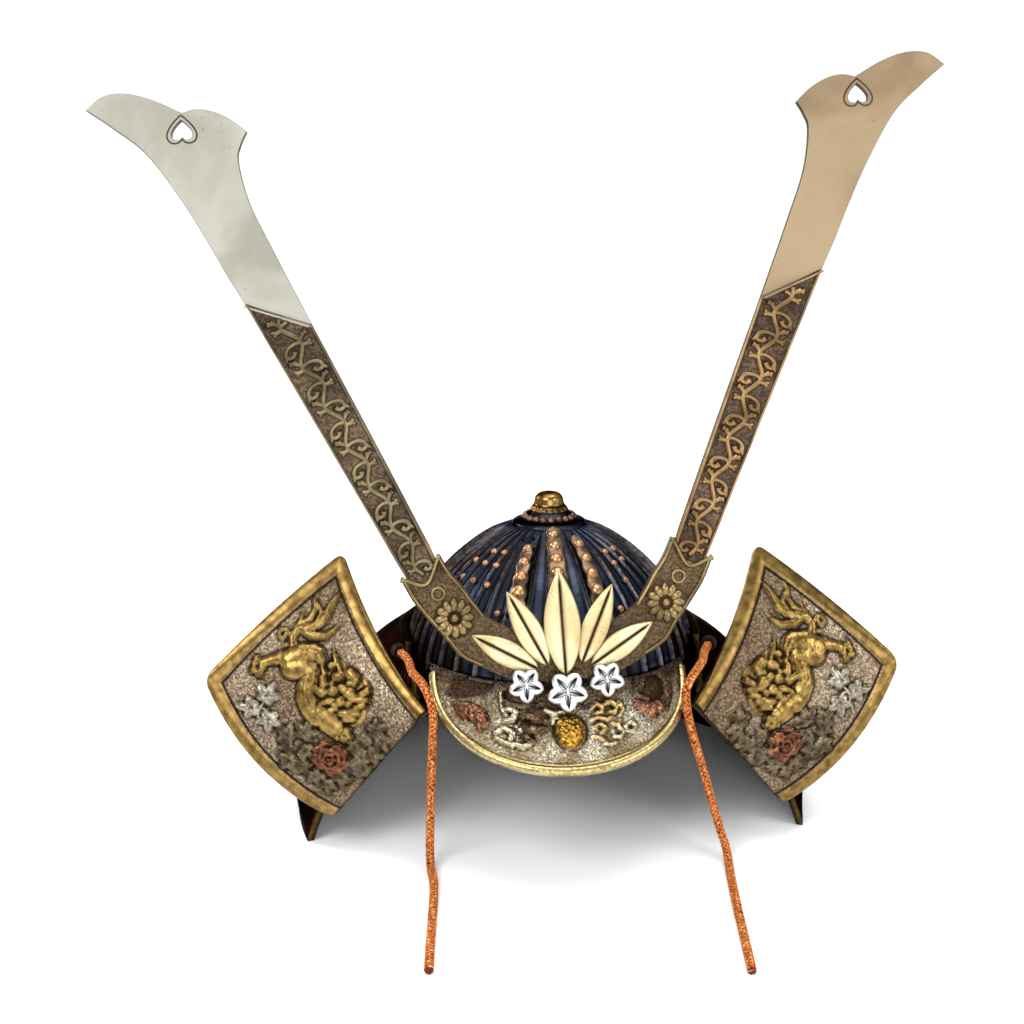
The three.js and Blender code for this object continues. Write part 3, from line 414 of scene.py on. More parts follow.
# Heights and tones on a grid from strokes: (tone, height, [(across, along, radius), ...])
def raiseStrokes(across, along, strokes, size):
    height = np.zeros_like(across)
    tones = {label: np.zeros_like(across) for label in size}
    for label, peak, path in strokes:
        path = np.asarray(path, float)
        if len(path) == 1:
            path = np.repeat(path, 2, axis=0)
        low = (path[:, :2] - path[:, 2:]).min(axis=0)
        high = (path[:, :2] + path[:, 2:]).max(axis=0)
        near = (across > low[0]) & (across < high[0]) & (along > low[1]) & (along < high[1])
        x, y = across[near], along[near]
        best = np.zeros_like(x)
        for start, end in zip(path[:-1], path[1:]):
            run = end[:2] - start[:2]
            length = max(run @ run, 1e-9)
            t = np.clip(((x - start[0]) * run[0] + (y - start[1]) * run[1]) / length, 0, 1)
            radius = start[2] + t * (end[2] - start[2])
            off = np.hypot(x - start[0] - t * run[0], y - start[1] - t * run[1])
            dome = np.sqrt(np.clip(1 - (off / radius) ** 2, 0, 1))
            best = np.maximum(best, dome * np.minimum(1, radius / path[:, 2].max() * 0.5 + 0.5))
        rise = peak * best
        wins = rise > height[near]
        held = height[near]
        held[wins] = rise[wins]
        height[near] = held
        for key, tone in tones.items():
            part = tone[near]
            part[wins] = 1.0 if key == label else 0.0
            tone[near] = part
    return height, tones


# Geometry node helpers
def addNode(tree, kind, **values):
    node = tree.nodes.new(kind)
    for key, value in values.items():
        label = key.replace("_", " ")
        if label in node.inputs:
            put(tree, value, node.inputs[label])
        else:
            setattr(node, key, value)
    return node


def geometryTree(name, sizes):
    tree = bpy.data.node_groups.new(name, "GeometryNodeTree")
    tree.interface.new_socket("Geometry", in_out="INPUT", socket_type="NodeSocketGeometry")
    for label, kind, default in sizes:
        socket = tree.interface.new_socket(label, in_out="INPUT", socket_type="NodeSocket" + kind)
        if default is not None:
            socket.default_value = default
    tree.interface.new_socket("Geometry", in_out="OUTPUT", socket_type="NodeSocketGeometry")
    return tree, tree.nodes.new("NodeGroupInput").outputs


def closeTree(tree, geometry, material):
    real = addNode(tree, "GeometryNodeRealizeInstances", Geometry=geometry)
    finish = addNode(tree, "GeometryNodeSetMaterial", Geometry=real.outputs[0], Material=material)
    tree.links.new(finish.outputs[0], tree.nodes.new("NodeGroupOutput").inputs[0])


# Runs a tree on plain points and edges (millimetres) and returns the plain mesh
def growMesh(name, points, edges, tree, sizes, stored=None):
    seed = bpy.data.meshes.new(name + "Seed")
    seed.from_pydata(np.asarray(points, float).reshape(-1, 3), edges, [])
    for label, values in (stored or {}).items():
        values = np.asarray(values, np.float32)
        kind, key = ("FLOAT", "value") if values.ndim == 1 else ("FLOAT_VECTOR", "vector")
        seed.attributes.new(label, kind, "POINT").data.foreach_set(key, values.ravel())
    source = bpy.data.objects.new(name + "Seed", seed)
    scene.collection.objects.link(source)
    modifier = source.modifiers.new("grow", "NODES")
    modifier.node_group = tree
    for item in tree.interface.items_tree:
        if item.item_type == "SOCKET" and item.in_out == "INPUT" and item.name in sizes:
            modifier[item.identifier] = sizes[item.name]
    grown = bpy.data.meshes.new_from_object(source.evaluated_get(bpy.context.evaluated_depsgraph_get()))
    source.modifiers.remove(modifier)
    bpy.data.objects.remove(source)
    grown.materials.clear()
    return grown


def movePoints(mesh, change):
    points = np.zeros(len(mesh.vertices) * 3)
    mesh.vertices.foreach_get("co", points)
    mesh.vertices.foreach_set("co", change(points.reshape(-1, 3)).ravel())
    mesh.update()
    return mesh


def placeMesh(mesh, crestFrame=False):
    return movePoints(mesh, lambda points: toMetres(points, crestFrame))


# Raised line: a half-round bead along each drawn line
def makeBeadTree():
    tree, given = geometryTree("raisedLine", [("Width", "Float", 1.0), ("Height", "Float", 0.5),
                                              ("Sides", "Int", 10), ("Material", "Material", None)])
    curve = addNode(tree, "GeometryNodeMeshToCurve", Mesh=given["Geometry"])
    swell = addNode(tree, "GeometryNodeInputNamedAttribute", data_type="FLOAT", Name="swell")
    sized = addNode(tree, "GeometryNodeSetCurveRadius", Curve=curve.outputs[0], Radius=swell.outputs[0])
    half = maths(tree, "MULTIPLY", given["Width"], 0.5)
    ringLine = addNode(tree, "GeometryNodeCurvePrimitiveCircle", Resolution=given["Sides"], Radius=half)
    bead = addNode(tree, "GeometryNodeCurveToMesh", Curve=sized.outputs[0], Profile_Curve=ringLine.outputs[0],
                   Fill_Caps=True)
    if "Scale" in bead.inputs:
        tree.links.new(swell.outputs[0], bead.inputs["Scale"])
    flat = addNode(tree, "ShaderNodeCombineXYZ", X=1.0, Y=1.0, Z=maths(tree, "DIVIDE", given["Height"], half))
    pressed = addNode(tree, "GeometryNodeTransform", Geometry=bead.outputs[0], Scale=flat.outputs[0])
    closeTree(tree, pressed.outputs[0], given["Material"])
    return tree


# Petal ring: petals round each marked point, and a button in the middle
def makePetalTree():
    tree, given = geometryTree("petalRing", [("Petals", "Int", 13), ("Radius", "Float", 6.6),
                                             ("Height", "Float", 1.2), ("Material", "Material", None)])
    ring = addNode(tree, "GeometryNodeMeshCircle", Vertices=given["Petals"],
                   Radius=maths(tree, "MULTIPLY", given["Radius"], 0.64))
    away = addNode(tree, "GeometryNodeInputPosition")
    aim = addNode(tree, "FunctionNodeAlignRotationToVector", axis="X", Vector=away.outputs[0])
    ball = addNode(tree, "GeometryNodeMeshUVSphere", Segments=16, Rings=8, Radius=1.0)
    shape = addNode(tree, "ShaderNodeCombineXYZ", X=maths(tree, "MULTIPLY", given["Radius"], 0.38),
                    Y=maths(tree, "MULTIPLY", given["Radius"], 0.24), Z=given["Height"])
    petals = addNode(tree, "GeometryNodeInstanceOnPoints", Points=ring.outputs[0], Instance=ball.outputs[0],
                     Rotation=aim.outputs[0], Scale=shape.outputs[0])
    button = addNode(tree, "ShaderNodeCombineXYZ", X=maths(tree, "MULTIPLY", given["Radius"], 0.25),
                     Y=maths(tree, "MULTIPLY", given["Radius"], 0.25),
                     Z=maths(tree, "MULTIPLY", given["Height"], 1.15))
    centre = addNode(tree, "GeometryNodeTransform", Geometry=ball.outputs[0], Scale=button.outputs[0])
    whole = tree.nodes.new("GeometryNodeJoinGeometry")
    for part in (petals.outputs[0], centre.outputs[0]):
        tree.links.new(part, whole.inputs[0])
    flowers = addNode(tree, "GeometryNodeInstanceOnPoints", Points=given["Geometry"], Instance=whole.outputs[0])
    closeTree(tree, flowers.outputs[0], given["Material"])
    return tree


# Rivets: a low dome at each point, standing along its stored direction
def makeRivetTree():
    tree, given = geometryTree("rivets", [("Radius", "Float", 1.1), ("Height", "Float", 0.9),
                                          ("Material", "Material", None)])
    stands = addNode(tree, "GeometryNodeInputNamedAttribute", data_type="FLOAT_VECTOR", Name="stands")
    size = addNode(tree, "GeometryNodeInputNamedAttribute", data_type="FLOAT", Name="swell")
    aim = addNode(tree, "FunctionNodeAlignRotationToVector", axis="Z", Vector=stands.outputs[0])
    ball = addNode(tree, "GeometryNodeMeshUVSphere", Segments=16, Rings=10, Radius=1.0)
    shape = addNode(tree, "ShaderNodeCombineXYZ", X=maths(tree, "MULTIPLY", given["Radius"], size.outputs[0]),
                    Y=maths(tree, "MULTIPLY", given["Radius"], size.outputs[0]),
                    Z=maths(tree, "MULTIPLY", given["Height"], size.outputs[0]))
    heads = addNode(tree, "GeometryNodeInstanceOnPoints", Points=given["Geometry"], Instance=ball.outputs[0],
                    Rotation=aim.outputs[0], Scale=shape.outputs[0])
    closeTree(tree, heads.outputs[0], given["Material"])
    return tree


beadTree = makeBeadTree()
petalTree = makePetalTree()
rivetTree = makeRivetTree()


# Lines are (points, swell) with points across and up the crest's plane, in millimetres
def beadMesh(name, lines, width, height, material, lift, sides=10):
    points, edges, swell = [], [], []
    for line, widths in lines:
        line = np.asarray(line, float)
        start = len(points)
        points += [(x, y, 0) for x, y in line]
        edges += [(start + i, start + i + 1) for i in range(len(line) - 1)]
        swell += list(np.broadcast_to(widths, len(line)))
    mesh = growMesh(name, points, edges, beadTree,
                    {"Width": width, "Height": height, "Sides": sides, "Material": material},
                    {"swell": swell})
    return placeMesh(movePoints(mesh, lambda places: places + (0, 0, lift)), True)


def tint(red, green, blue):
    return tuple((channel / 255) ** 2.2 for channel in (red, green, blue))


# Cords
cordLook = {
    "diameter": 3.0,
    "strands": 4,
    "pitch": 3.4,
    "relief": 0.42,
    "around": 24,
    "step": 0.28,
    "orange": tint(198, 112, 54),
    # painted shade colour for the grooves between the strands
    "deep": tint(96, 38, 14),
    "brown": tint(66, 32, 22),
    "pale": tint(240, 178, 112),
    "seed": 7,
}
cordRoutes = {
    "left": [
        (-53.8, -25.5, 65.5), (-51.3, -32, 65.3), (-49.6, -40, 63.5), (-46.5, -47.5, 62.6),
        (-44.3, -52.6, 60), (-43.1, -54, 56), (-42.8, -54, 51), (-43.3, -53.8, 43), (-43.8, -53.5, 32),
        (-44.4, -53.2, 20), (-44.8, -53.3, 10), (-44.9, -55.8, 4.6), (-44.6, -61, 2), (-43.8, -69, 1.6),
        (-43.7, -78, 1.6), (-44.2, -93, 1.6), (-44.8, -108, 1.6), (-45.2, -121.5, 1.6),
    ],
    "right": [
        (53.8, -25.5, 65.5), (51.3, -32, 65.3), (49.2, -40, 65), (46, -47, 64.5), (43, -52.4, 63.2),
        (41.2, -54, 60), (41.2, -54, 56), (42.4, -53.8, 49), (44.6, -53.5, 41), (47.7, -53.2, 31),
        (51, -53, 19), (54, -53.5, 9), (55.4, -56, 4.4), (55.3, -62, 1.9), (54.4, -69, 1.6),
        (53.1, -80, 1.6), (51.6, -94, 1.6), (49.9, -112, 1.6), (48.3, -128, 1.6),
    ],
}


def makeCordMaterial(look):
    material = bpy.data.materials.new("orangeBraid")
    material.use_nodes = True
    tree = material.node_tree
    shader = tree.nodes["Principled BSDF"]
    fleck = attribute(tree, "fleck")
    strand = attribute(tree, "strand")
    # Painted shade: the braid takes the deep colour where the strands dip into their grooves
    colour = blendColours(tree, ramp(tree, strand, 0.35, 0.9), look["deep"], look["orange"])
    dark = maths(tree, "MULTIPLY", ramp(tree, fleck, 0.2, 0.16), 0.9)
    colour = blendColours(tree, dark, colour, look["brown"])
    pale = maths(tree, "MULTIPLY", ramp(tree, fleck, 0.8, 0.86), 0.85)
    colour = blendColours(tree, pale, colour, look["pale"])
    place = tree.nodes.new("ShaderNodeTexCoord").outputs["Object"]
    fibre = noiseAt(tree, place, 4200.0, 2.0)
    colour = blendColours(tree, maths(tree, "MULTIPLY", fibre, 0.25), colour, look["brown"])
    bump = tree.nodes.new("ShaderNodeBump")
    bump.inputs["Strength"].default_value = 0.5
    bump.inputs["Distance"].default_value = 0.0002
    tree.links.new(fibre, bump.inputs["Height"])
    tree.links.new(bump.outputs[0], shader.inputs["Normal"])
    tree.links.new(colour, shader.inputs["Base Color"])
    shader.inputs["Roughness"].default_value = 0.82
    shader.inputs["Specular IOR Level"].default_value = 0.2
    return material


def makeCord(side, look, material):
    route = np.array(cordRoutes[side], float)
    run = np.concatenate([[0], np.cumsum(np.linalg.norm(np.diff(route, axis=0), axis=1))])
    rings = int(run[-1] / look["step"])
    at = np.linspace(0, run[-1], rings)
    line = np.stack(smoothTable(np.column_stack([run, route]), at), axis=-1)
    ahead = unit(np.gradient(line, axis=0))
    sideways = np.zeros_like(line)
    sideways[0] = unit(np.cross(ahead[0], (0, 0, 1)))
    for i in range(1, rings):
        sideways[i] = unit(sideways[i - 1] - ahead[i] * (sideways[i - 1] @ ahead[i]))
    upward = np.cross(ahead, sideways)
    angle = np.arange(look["around"]) / look["around"] * 2 * np.pi
    turn, along = np.meshgrid(angle / (2 * np.pi) * look["strands"], at / look["pitch"] * 2)
    one, other = turn + along, turn - along
    over = (np.floor(one) + np.floor(other)) % 2
    dome = np.where(over > 0, np.sin(np.pi * (one % 1)), np.sin(np.pi * (other % 1)))
    strand = np.clip(dome, 0, 1) ** 0.7
    radius = look["diameter"] / 2 - look["relief"] * (1 - strand)
    points = (line[:, None] + radius[..., None] * (np.cos(angle)[None, :, None] * sideways[:, None]
              + np.sin(angle)[None, :, None] * upward[:, None]))
    chance = np.random.default_rng(look["seed"]).random((97, 89))
    fleck = chance[np.floor(one * 2).astype(int) % 97, np.floor(other * 3).astype(int) % 89]
    size = look["around"]
    corner = (np.arange(rings - 1)[:, None] * size + np.arange(size)[None]).ravel()
    beside = (np.arange(rings - 1)[:, None] * size + (np.arange(size)[None] + 1) % size).ravel()
    faces = np.column_stack([corner, beside, beside + size, corner + size]).tolist()
    faces += [list(range(size)), [(rings - 1) * size + i for i in range(size)]]
    name = "cord" + side.capitalize()
    mesh = bpy.data.meshes.new(name)
    mesh.from_pydata(toMetres(points), [], faces)
    for label, values in (("strand", strand), ("fleck", fleck)):
        storeFloats(mesh, label, values)
    piece = finishMesh(name, mesh, [material], "cord_" + side, 180)
    return piece


# The crest leans back, and stands a little askew
crestLean, crestTilt = math.radians(15), math.radians(2.87)
crestFoot = (0, -59.4, 74)
crestTurn = (Matrix.Rotation(math.pi / 2 - crestLean, 3, "X") @ Matrix.Rotation(crestTilt, 3, "Z"))

braid = makeCordMaterial(cordLook)
for side in cordRoutes:
    makeCord(side, cordLook, braid)
print("stage: cords")

# Floor: a pale sheet that sweeps up behind
sweepSize = {"width": 5.0, "front": -2.2, "bend": 0.9, "radius": 0.8, "height": 3.2}


def makeSweep(size):
    profile = [(size["front"], 0.0), (size["bend"], 0.0)]
    for i in range(1, 25):
        angle = i / 24 * math.pi / 2
        profile.append((size["bend"] + size["radius"] * math.sin(angle),
                        size["radius"] * (1 - math.cos(angle))))
    profile.append((profile[-1][0], size["height"]))
    half = size["width"] / 2
    points = [(x, y, z) for y, z in profile for x in (-half, half)]
    faces = [(2 * i, 2 * i + 1, 2 * i + 3, 2 * i + 2) for i in range(len(profile) - 1)]
    mesh = bpy.data.meshes.new("paleSweep")
    mesh.from_pydata(points, [], faces)
    mesh.shade_smooth()
    material = bpy.data.materials.new("paleSweep")
    material.use_nodes = True
    shader = material.node_tree.nodes["Principled BSDF"]
    shader.inputs["Base Color"].default_value = (0.93, 0.93, 0.93, 1)
    shader.inputs["Roughness"].default_value = 0.9
    shader.inputs["Specular IOR Level"].default_value = 0.1
    mesh.materials.append(material)
    sweep = bpy.data.objects.new("paleSweep", mesh)
    scene.collection.objects.link(sweep)


makeSweep(sweepSize)


# Horns
hornSize = {
    "splay": math.radians(25),
    "length": 176.5,
    "breadth": 42,
    "thick": 2.2,
    "face": -1.1,
    "tongue": 13.0,
    "mouth": 12.5,
    "bevel": 0.28,
    "heart": 6.6,
    "heartPlace": (-0.03, 0.884),
    "heartLine": 9.6,
    "scrolls": 13,
    "scrollWidth": 1.8,
    "scrollHeight": 0.85,
    "borderWidth": 0.85,
    "borderHeight": 0.6,
    "panelFoot": -9.2,
}
baseSpan, baseRise, baseDepth, baseThick = 51.2, 37.0, 7.0, 4.4
hornFoot = (0.908 * baseSpan, baseRise)
# Edge points from the foot up: share of the breadth, share of the length
hornOuter = [(0.14, 0), (0.155, 0.2), (0.175, 0.4), (0.193, 0.554), (0.205, 0.61), (0.21, 0.682),
             (0.232, 0.777), (0.295, 0.879), (0.425, 0.95), (0.533, 1)]
hornLobe = [(0.533, 1), (0.37, 1.008), (0.205, 0.993), (0.05, 0.96), (-0.1, 0.914)]
hornSmallLobe = [(-0.1, 0.914), (-0.2, 0.909), (-0.3, 0.893), (-0.395, 0.865), (-0.467, 0.828)]
hornInner = [(-0.467, 0.828), (-0.38, 0.812), (-0.3, 0.787), (-0.222, 0.713), (-0.202, 0.615),
             (-0.186, 0.461), (-0.168, 0.2), (-0.149, 0)]

hornLooks = {
    "left": {"light": tint(155, 153, 141), "dark": tint(134, 132, 119)},
    "right": {"light": tint(150, 130, 102), "dark": tint(125, 106, 81)},
}
shaftLooks = {
    "left": {"scroll": tint(118, 106, 80), "scrollDark": tint(84, 74, 55)},
    "right": {"scroll": tint(138, 111, 76), "scrollDark": tint(100, 79, 54)},
}


# Horn places (across, along) in millimetres to places across and up the crest's plane
def hornToCrest(points, side):
    points = np.asarray(points, float)
    cos, sin = math.cos(hornSize["splay"]), math.sin(hornSize["splay"])
    x = hornFoot[0] + points[..., 0] * cos + points[..., 1] * sin
    y = hornFoot[1] - points[..., 0] * sin + points[..., 1] * cos
    return np.stack([x if side == "right" else -x, y], axis=-1)


def hornLine(rows, steps=8):
    return smoothLine([(a * hornSize["breadth"], b * hornSize["length"]) for a, b in rows], steps)


# A heart with its point up, as a closed line
def heartLine(size, centre, steps=12):
    half = []
    for i in range(steps + 1):
        t = i / steps
        start, one, two, end = (0, 0.55), (0.3, 0.3), (0.5, 0.05), (0.5, -0.15)
        half.append([(1 - t) ** 3 * a + 3 * t * (1 - t) ** 2 * b + 3 * t * t * (1 - t) * c + t**3 * d
                         for a, b, c, d in zip(start, one, two, end)])
    for i in range(1, steps + 1):
        t = i / steps
        start, one, two, end = (0.5, -0.15), (0.5, -0.45), (0.1, -0.5), (0, -0.25)
        half.append([(1 - t) ** 3 * a + 3 * t * (1 - t) ** 2 * b + 3 * t * t * (1 - t) * c + t**3 * d
                     for a, b, c, d in zip(start, one, two, end)])
    half = np.array(half)
    whole = np.concatenate([half, (half * (-1, 1))[-2:0:-1]]) * size
    return whole + centre


# A flat plate with rounded edges from closed lines, as points in the lines' own plane
def filledPlate(name, outline, holes, low, high, bevel):
    curve = bpy.data.curves.new(name, "CURVE")
    curve.dimensions = "2D"
    curve.fill_mode = "BOTH"
    for line in [outline, *holes]:
        spline = curve.splines.new("POLY")
        spline.points.add(len(line) - 1)
        spline.points.foreach_set("co", np.column_stack([line, np.zeros(len(line)), np.ones(len(line))])
                                  .astype(np.float32).ravel())
        spline.use_cyclic_u = True
    curve.extrude = (high - low) / 2 - bevel
    curve.bevel_depth = bevel
    curve.bevel_resolution = 2
    curve.offset = -bevel
    holder = bpy.data.objects.new(name, curve)
    scene.collection.objects.link(holder)
    bpy.context.view_layer.update()
    mesh = bpy.data.meshes.new_from_object(holder.evaluated_get(bpy.context.evaluated_depsgraph_get()))
    bpy.data.objects.remove(holder)
    mesh.transform(Matrix.Translation((0, 0, (high + low) / 2)))
    mesh.materials.clear()
    return mesh


# A wavy stem; each wave has a hook on its hollow side, and a bud and a forked leaf on its crest
scrollStrokes = [  # outwards from the stem in widths, along in waves, and swell
    ("hook", [(0.0, 0.0), (0.15, 0.06), (0.3, 0.0), (0.4, -0.16), (0.42, -0.34), (0.48, -0.5)],
     (0.95, 0.85, 0.85, 0.95, 1.1, 0.5)),
    ("hook", [(0.42, -0.3), (0.37, -0.42), (0.27, -0.4), (0.22, -0.27)], (0.9, 0.9, 0.95, 1.3)),
    ("crest", [(-0.02, 0.05), (0.05, 0.2), (0.12, 0.34)], (0.9, 0.9, 1.35)),
    ("crest", [(0.12, 0.3), (0.2, 0.34)], (0.8, 1.2)),
    ("crest", [(0.0, -0.14), (0.12, -0.15), (0.2, -0.04)], (0.9, 1.0, 0.7)),
    ("crest", [(0.12, -0.15), (0.19, -0.27)], (0.9, 0.6)),
]


def scrollPaths(start, end, count, width):
    pitch = (end - start) / count
    share = np.arange(count * 12 + 1) / 12
    paths = [(np.column_stack([0.12 * width * np.sin(share * np.pi), start + share * pitch]), 1.0)]
    for i in range(count):
        side = 1 if i % 2 == 0 else -1
        root = np.array([side * 0.12 * width, start + (i + 0.5) * pitch])
        for kind, rows, swell in scrollStrokes:
            way = -side if kind == "hook" else side
            line = smoothLine(np.column_stack([rows, swell]), 5)
            paths.append((root + line[:, :2] * (way * width, pitch), line[:, 2]))
    return paths


# How wide the shaft is at a place along the horn, against its mouth
def bulge(points):
    return 1 + 0.27 * np.asarray(points)[..., 1] / (0.5 * hornSize["length"])


def makeHorn(side):
    size = hornSize
    heartAt = np.array([size["heartPlace"][0] * size["breadth"], size["heartPlace"][1] * size["length"]])
    outline = np.concatenate([
        [(-size["mouth"] / 2 + 1, -size["tongue"]), (size["mouth"] / 2 - 1, -size["tongue"])],
        hornLine(hornOuter)[:-1], hornLine(hornLobe)[:-1], hornLine(hornSmallLobe)[:-1], hornLine(hornInner)])
    cos, sin = math.cos(size["splay"]), math.sin(size["splay"])
    upright = heartLine(size["heart"], (0, 0)) @ np.array([[cos, sin], [-sin, cos]]) + heartAt
    mesh = filledPlate("horn" + side, outline, [upright], size["face"] - size["thick"], size["face"],
                       size["bevel"])
    outerEnd = np.array([hornOuter[3][0] * size["breadth"], hornOuter[3][1] * size["length"]])
    innerEnd = np.array([hornInner[5][0] * size["breadth"], hornInner[5][1] * size["length"]])
    work = bmesh.new()
    work.from_mesh(mesh)
    cut = outerEnd - innerEnd
    normal = Vector((-cut[1], cut[0], 0)).normalized()
    bmesh.ops.bisect_plane(work, geom=work.verts[:] + work.edges[:] + work.faces[:],
                           plane_co=(*innerEnd, 0), plane_no=normal)
    bmesh.ops.recalc_face_normals(work, faces=work.faces)
    for item in work.faces:
        above = (item.calc_center_median() - Vector((*innerEnd, 0))).dot(normal) > 0
        # The side faces take the dark painted-shade material
        item.material_index = 1 if abs(item.normal.z) < 0.8 else (0 if above else 2)
    work.to_mesh(mesh)
    work.free()
    movePoints(mesh, lambda points: np.column_stack([hornToCrest(points[:, :2], side), points[:, 2]]))
    placeMesh(mesh, True)
    grimeAndShade = tint(58, 46, 38)
    tip = makeMetal("hornTip" + side, {**hornLooks[side], "grimeAndShade": grimeAndShade, "clouds": 26.0, "rough": (0.46, 0.56),
                                       "pits": (360.0, 0.08), "grain": 0.1, "specks": 0.08, "metallic": 0.6})
    # Painted shade: the side faces of the plate take this dark material, and so does the raised line round the
    # heart
    edge = makeMetal("hornShadedSide" + side, {"light": tint(62, 50, 38), "dark": tint(38, 31, 26), "grimeAndShade": grimeAndShade,
                                         "rough": (0.4, 0.6), "metallic": 0.7})
    tones = shaftLooks[side]
    border = makeMetal("hornBorder" + side, {"light": tones["scroll"], "dark": tones["scrollDark"],
                                             "grimeAndShade": grimeAndShade, "rough": (0.3, 0.5), "metallic": 0.8})
    finishMesh("horn" + side.capitalize(), mesh, [tip, edge, border], "horn_" + side, 8)

    # The stippled ground of the shaft, with painted shade round the scrolls and along its edges
    columns, rows = 38, 250
    s, t = np.meshgrid(np.linspace(0, 1, columns), np.linspace(0, 1, rows))
    inset = 0.75
    footIn = np.array([-size["mouth"] / 2 + inset + 0.7, size["panelFoot"]])
    footOut = footIn * (-1, 1)
    headIn = innerEnd + (inset, -1.0)
    headOut = outerEnd + (-inset, -1.4)
    low = footIn * (1 - s[..., None]) + footOut * s[..., None]
    high = headIn * (1 - s[..., None]) + headOut * s[..., None]
    flat = low * (1 - t[..., None]) + high * t[..., None]
    paths = []
    upward = np.array([-cut[1], cut[0]]) / np.hypot(*cut)
    for path, swell in scrollPaths(size["panelFoot"] + 2.0, 1.09 * innerEnd[1], size["scrolls"], size["mouth"]):
        path = np.array(path)
        path[:, 0] *= bulge(path)
        kept = (path - innerEnd) @ upward * np.sign(upward[1]) < -2.0
        kept = np.cumprod(kept).astype(bool)
        if kept.sum() > 3:
            paths.append((path[kept], np.broadcast_to(swell, len(path))[kept]))
    strokes = [("scroll", 1.0, np.column_stack([path, np.broadcast_to(swell, len(path)) * 1.15]))
               for path, swell in paths]
    near, _ = raiseStrokes(flat[..., 0], flat[..., 1], strokes, [])
    edgeNear = np.minimum(np.minimum(s, 1 - s) * size["mouth"], np.minimum(t, 1 - t) * innerEnd[1])
    # Painted shade: darker near the scrolls and along the panel's edges next to the borders
    cavity = np.clip(near * 0.9 + np.clip(1 - edgeNear / 0.7, 0, 1) * 0.8, 0, 1)
    crest = hornToCrest(flat, side)
    lift = size["face"] + 0.14
    face = np.concatenate([crest, np.full((rows, columns, 1), lift)], axis=-1)
    back = np.concatenate([crest, np.full((rows, columns, 1), size["face"] - 0.3)], axis=-1)
    ground = makeMetal("shaftGround" + side, {
        "light": tint(100, 83, 68), "dark": tint(74, 61, 50), "grimeAndShade": tint(22, 18, 16), "rough": (0.3, 0.5),
        "stipple": 1100.0, "bump": 1.0, "metallic": 0.95, "clouds": 45.0, "grimeAndShadeAmount": 0.85, "pitTone": 0.55})
    panel = wallMesh("shaftGround" + side, face, back, {"cavity": cavity}, crestFrame=True)
    finishMesh("shaftGround" + side.capitalize(), panel, [ground], "horn_" + side, 35)

    # Raised work: scrolls, borders, the double line at the top, and the line round the heart
    scroll = makeMetal("scroll" + side, {"light": tones["scroll"], "dark": tones["scrollDark"],
                                         "grimeAndShade": tint(52, 38, 28), "rough": (0.28, 0.46), "metallic": 0.95,
                                         "clouds": 90.0})
    lines = [(hornToCrest(path, side), swell) for path, swell in paths]
    beads = beadMesh("scrolls" + side, lines, size["scrollWidth"], size["scrollHeight"], scroll,
                     size["face"] + 0.12)
    finishMesh("scrolls" + side.capitalize(), beads, [scroll], "horn_" + side, 60)
    along = (outerEnd - innerEnd) / np.linalg.norm(outerEnd - innerEnd)
    down = np.array([along[1], -along[0]])
    borders = [
        ([footIn - (inset - 0.45, 0.3), headIn - (inset - 0.5, 0)], 1.0),
        ([footOut + (inset - 0.45, -0.3), headOut + (inset - 0.5, 0)], 1.0),
    ]
    diagonals = [([innerEnd + 0.3 * along, outerEnd - 0.3 * along], 0.8),
                 ([innerEnd + 0.5 * along + 1.3 * down, outerEnd - 0.5 * along + 1.3 * down], 0.8)]
    diagonals = [(hornToCrest(np.array(path), side), swell) for path, swell in diagonals]
    beads = beadMesh("diagonals" + side, diagonals, 0.95, 0.5, tip, size["face"] + 0.05)
    finishMesh("diagonals" + side.capitalize(), beads, [tip], "horn_" + side, 60)
    borders = [(hornToCrest(np.array(path), side), swell) for path, swell in borders]
    beads = beadMesh("borders" + side, borders, size["borderWidth"], size["borderHeight"], border,
                     size["face"] + 0.05)
    finishMesh("borders" + side.capitalize(), beads, [border], "horn_" + side, 60)
    rim = heartLine(size["heartLine"], (0, 0)) @ np.array([[cos, sin], [-sin, cos]]) + heartAt
    rim = hornToCrest(np.concatenate([rim, rim[:1]]), side)
    beads = beadMesh("heartLine" + side, [(rim, 1.0)], 0.5, 0.14, edge, size["face"])
    finishMesh("heartLine" + side.capitalize(), beads, [edge], "horn_" + side, 60)


for side in ("left", "right"):
    makeHorn(side)
print("stage: horns")


# Horn base
baseLook = {"light": tint(96, 80, 58), "dark": tint(70, 58, 42), "grimeAndShade": tint(22, 18, 15), "rough": (0.3, 0.5),
            "stipple": 1150.0, "bump": 1.0, "metallic": 0.95, "clouds": 70.0, "pitTone": 0.55}
baseEdgeLook = {"light": tint(132, 114, 78), "dark": tint(98, 82, 56), "grimeAndShade": tint(44, 35, 27),
                "rough": (0.24, 0.44), "metallic": 0.95, "clouds": 90.0}
# Painted shade: the dark disc laid under the rosettes
rosetteShadeDiscLook = {"light": tint(72, 60, 46), "dark": tint(52, 43, 34), "grimeAndShade": tint(20, 16, 14),
                     "rough": (0.4, 0.6), "metallic": 0.9}
armOuter = [(0, -0.19), (0.17, -0.185), (0.34, -0.15), (0.53, -0.02), (0.655, 0.085), (0.735, 0.235),
            (0.855, 0.45), (0.93, 0.6), (1, 0.8)]
armCusps = [(1, 0.8), (0.965, 0.795), (0.93, 0.775), (0.89, 0.752), (0.855, 0.745), (0.825, 0.765),
            (0.805, 0.81), (0.785, 0.87), (0.765, 0.94), (0.742, 1)]
armInner = [(0.742, 1), (0.68, 0.83), (0.61, 0.7), (0.55, 0.57), (0.48, 0.43), (0.36, 0.32), (0.2, 0.2),
            (0, 0.15)]
rosettes = {"places": [(0.672, 0.422)], "radius": 6.6, "petals": 12, "height": 1.8}
smallRing = {"place": (0.766, 0.643), "radius": 2.0}


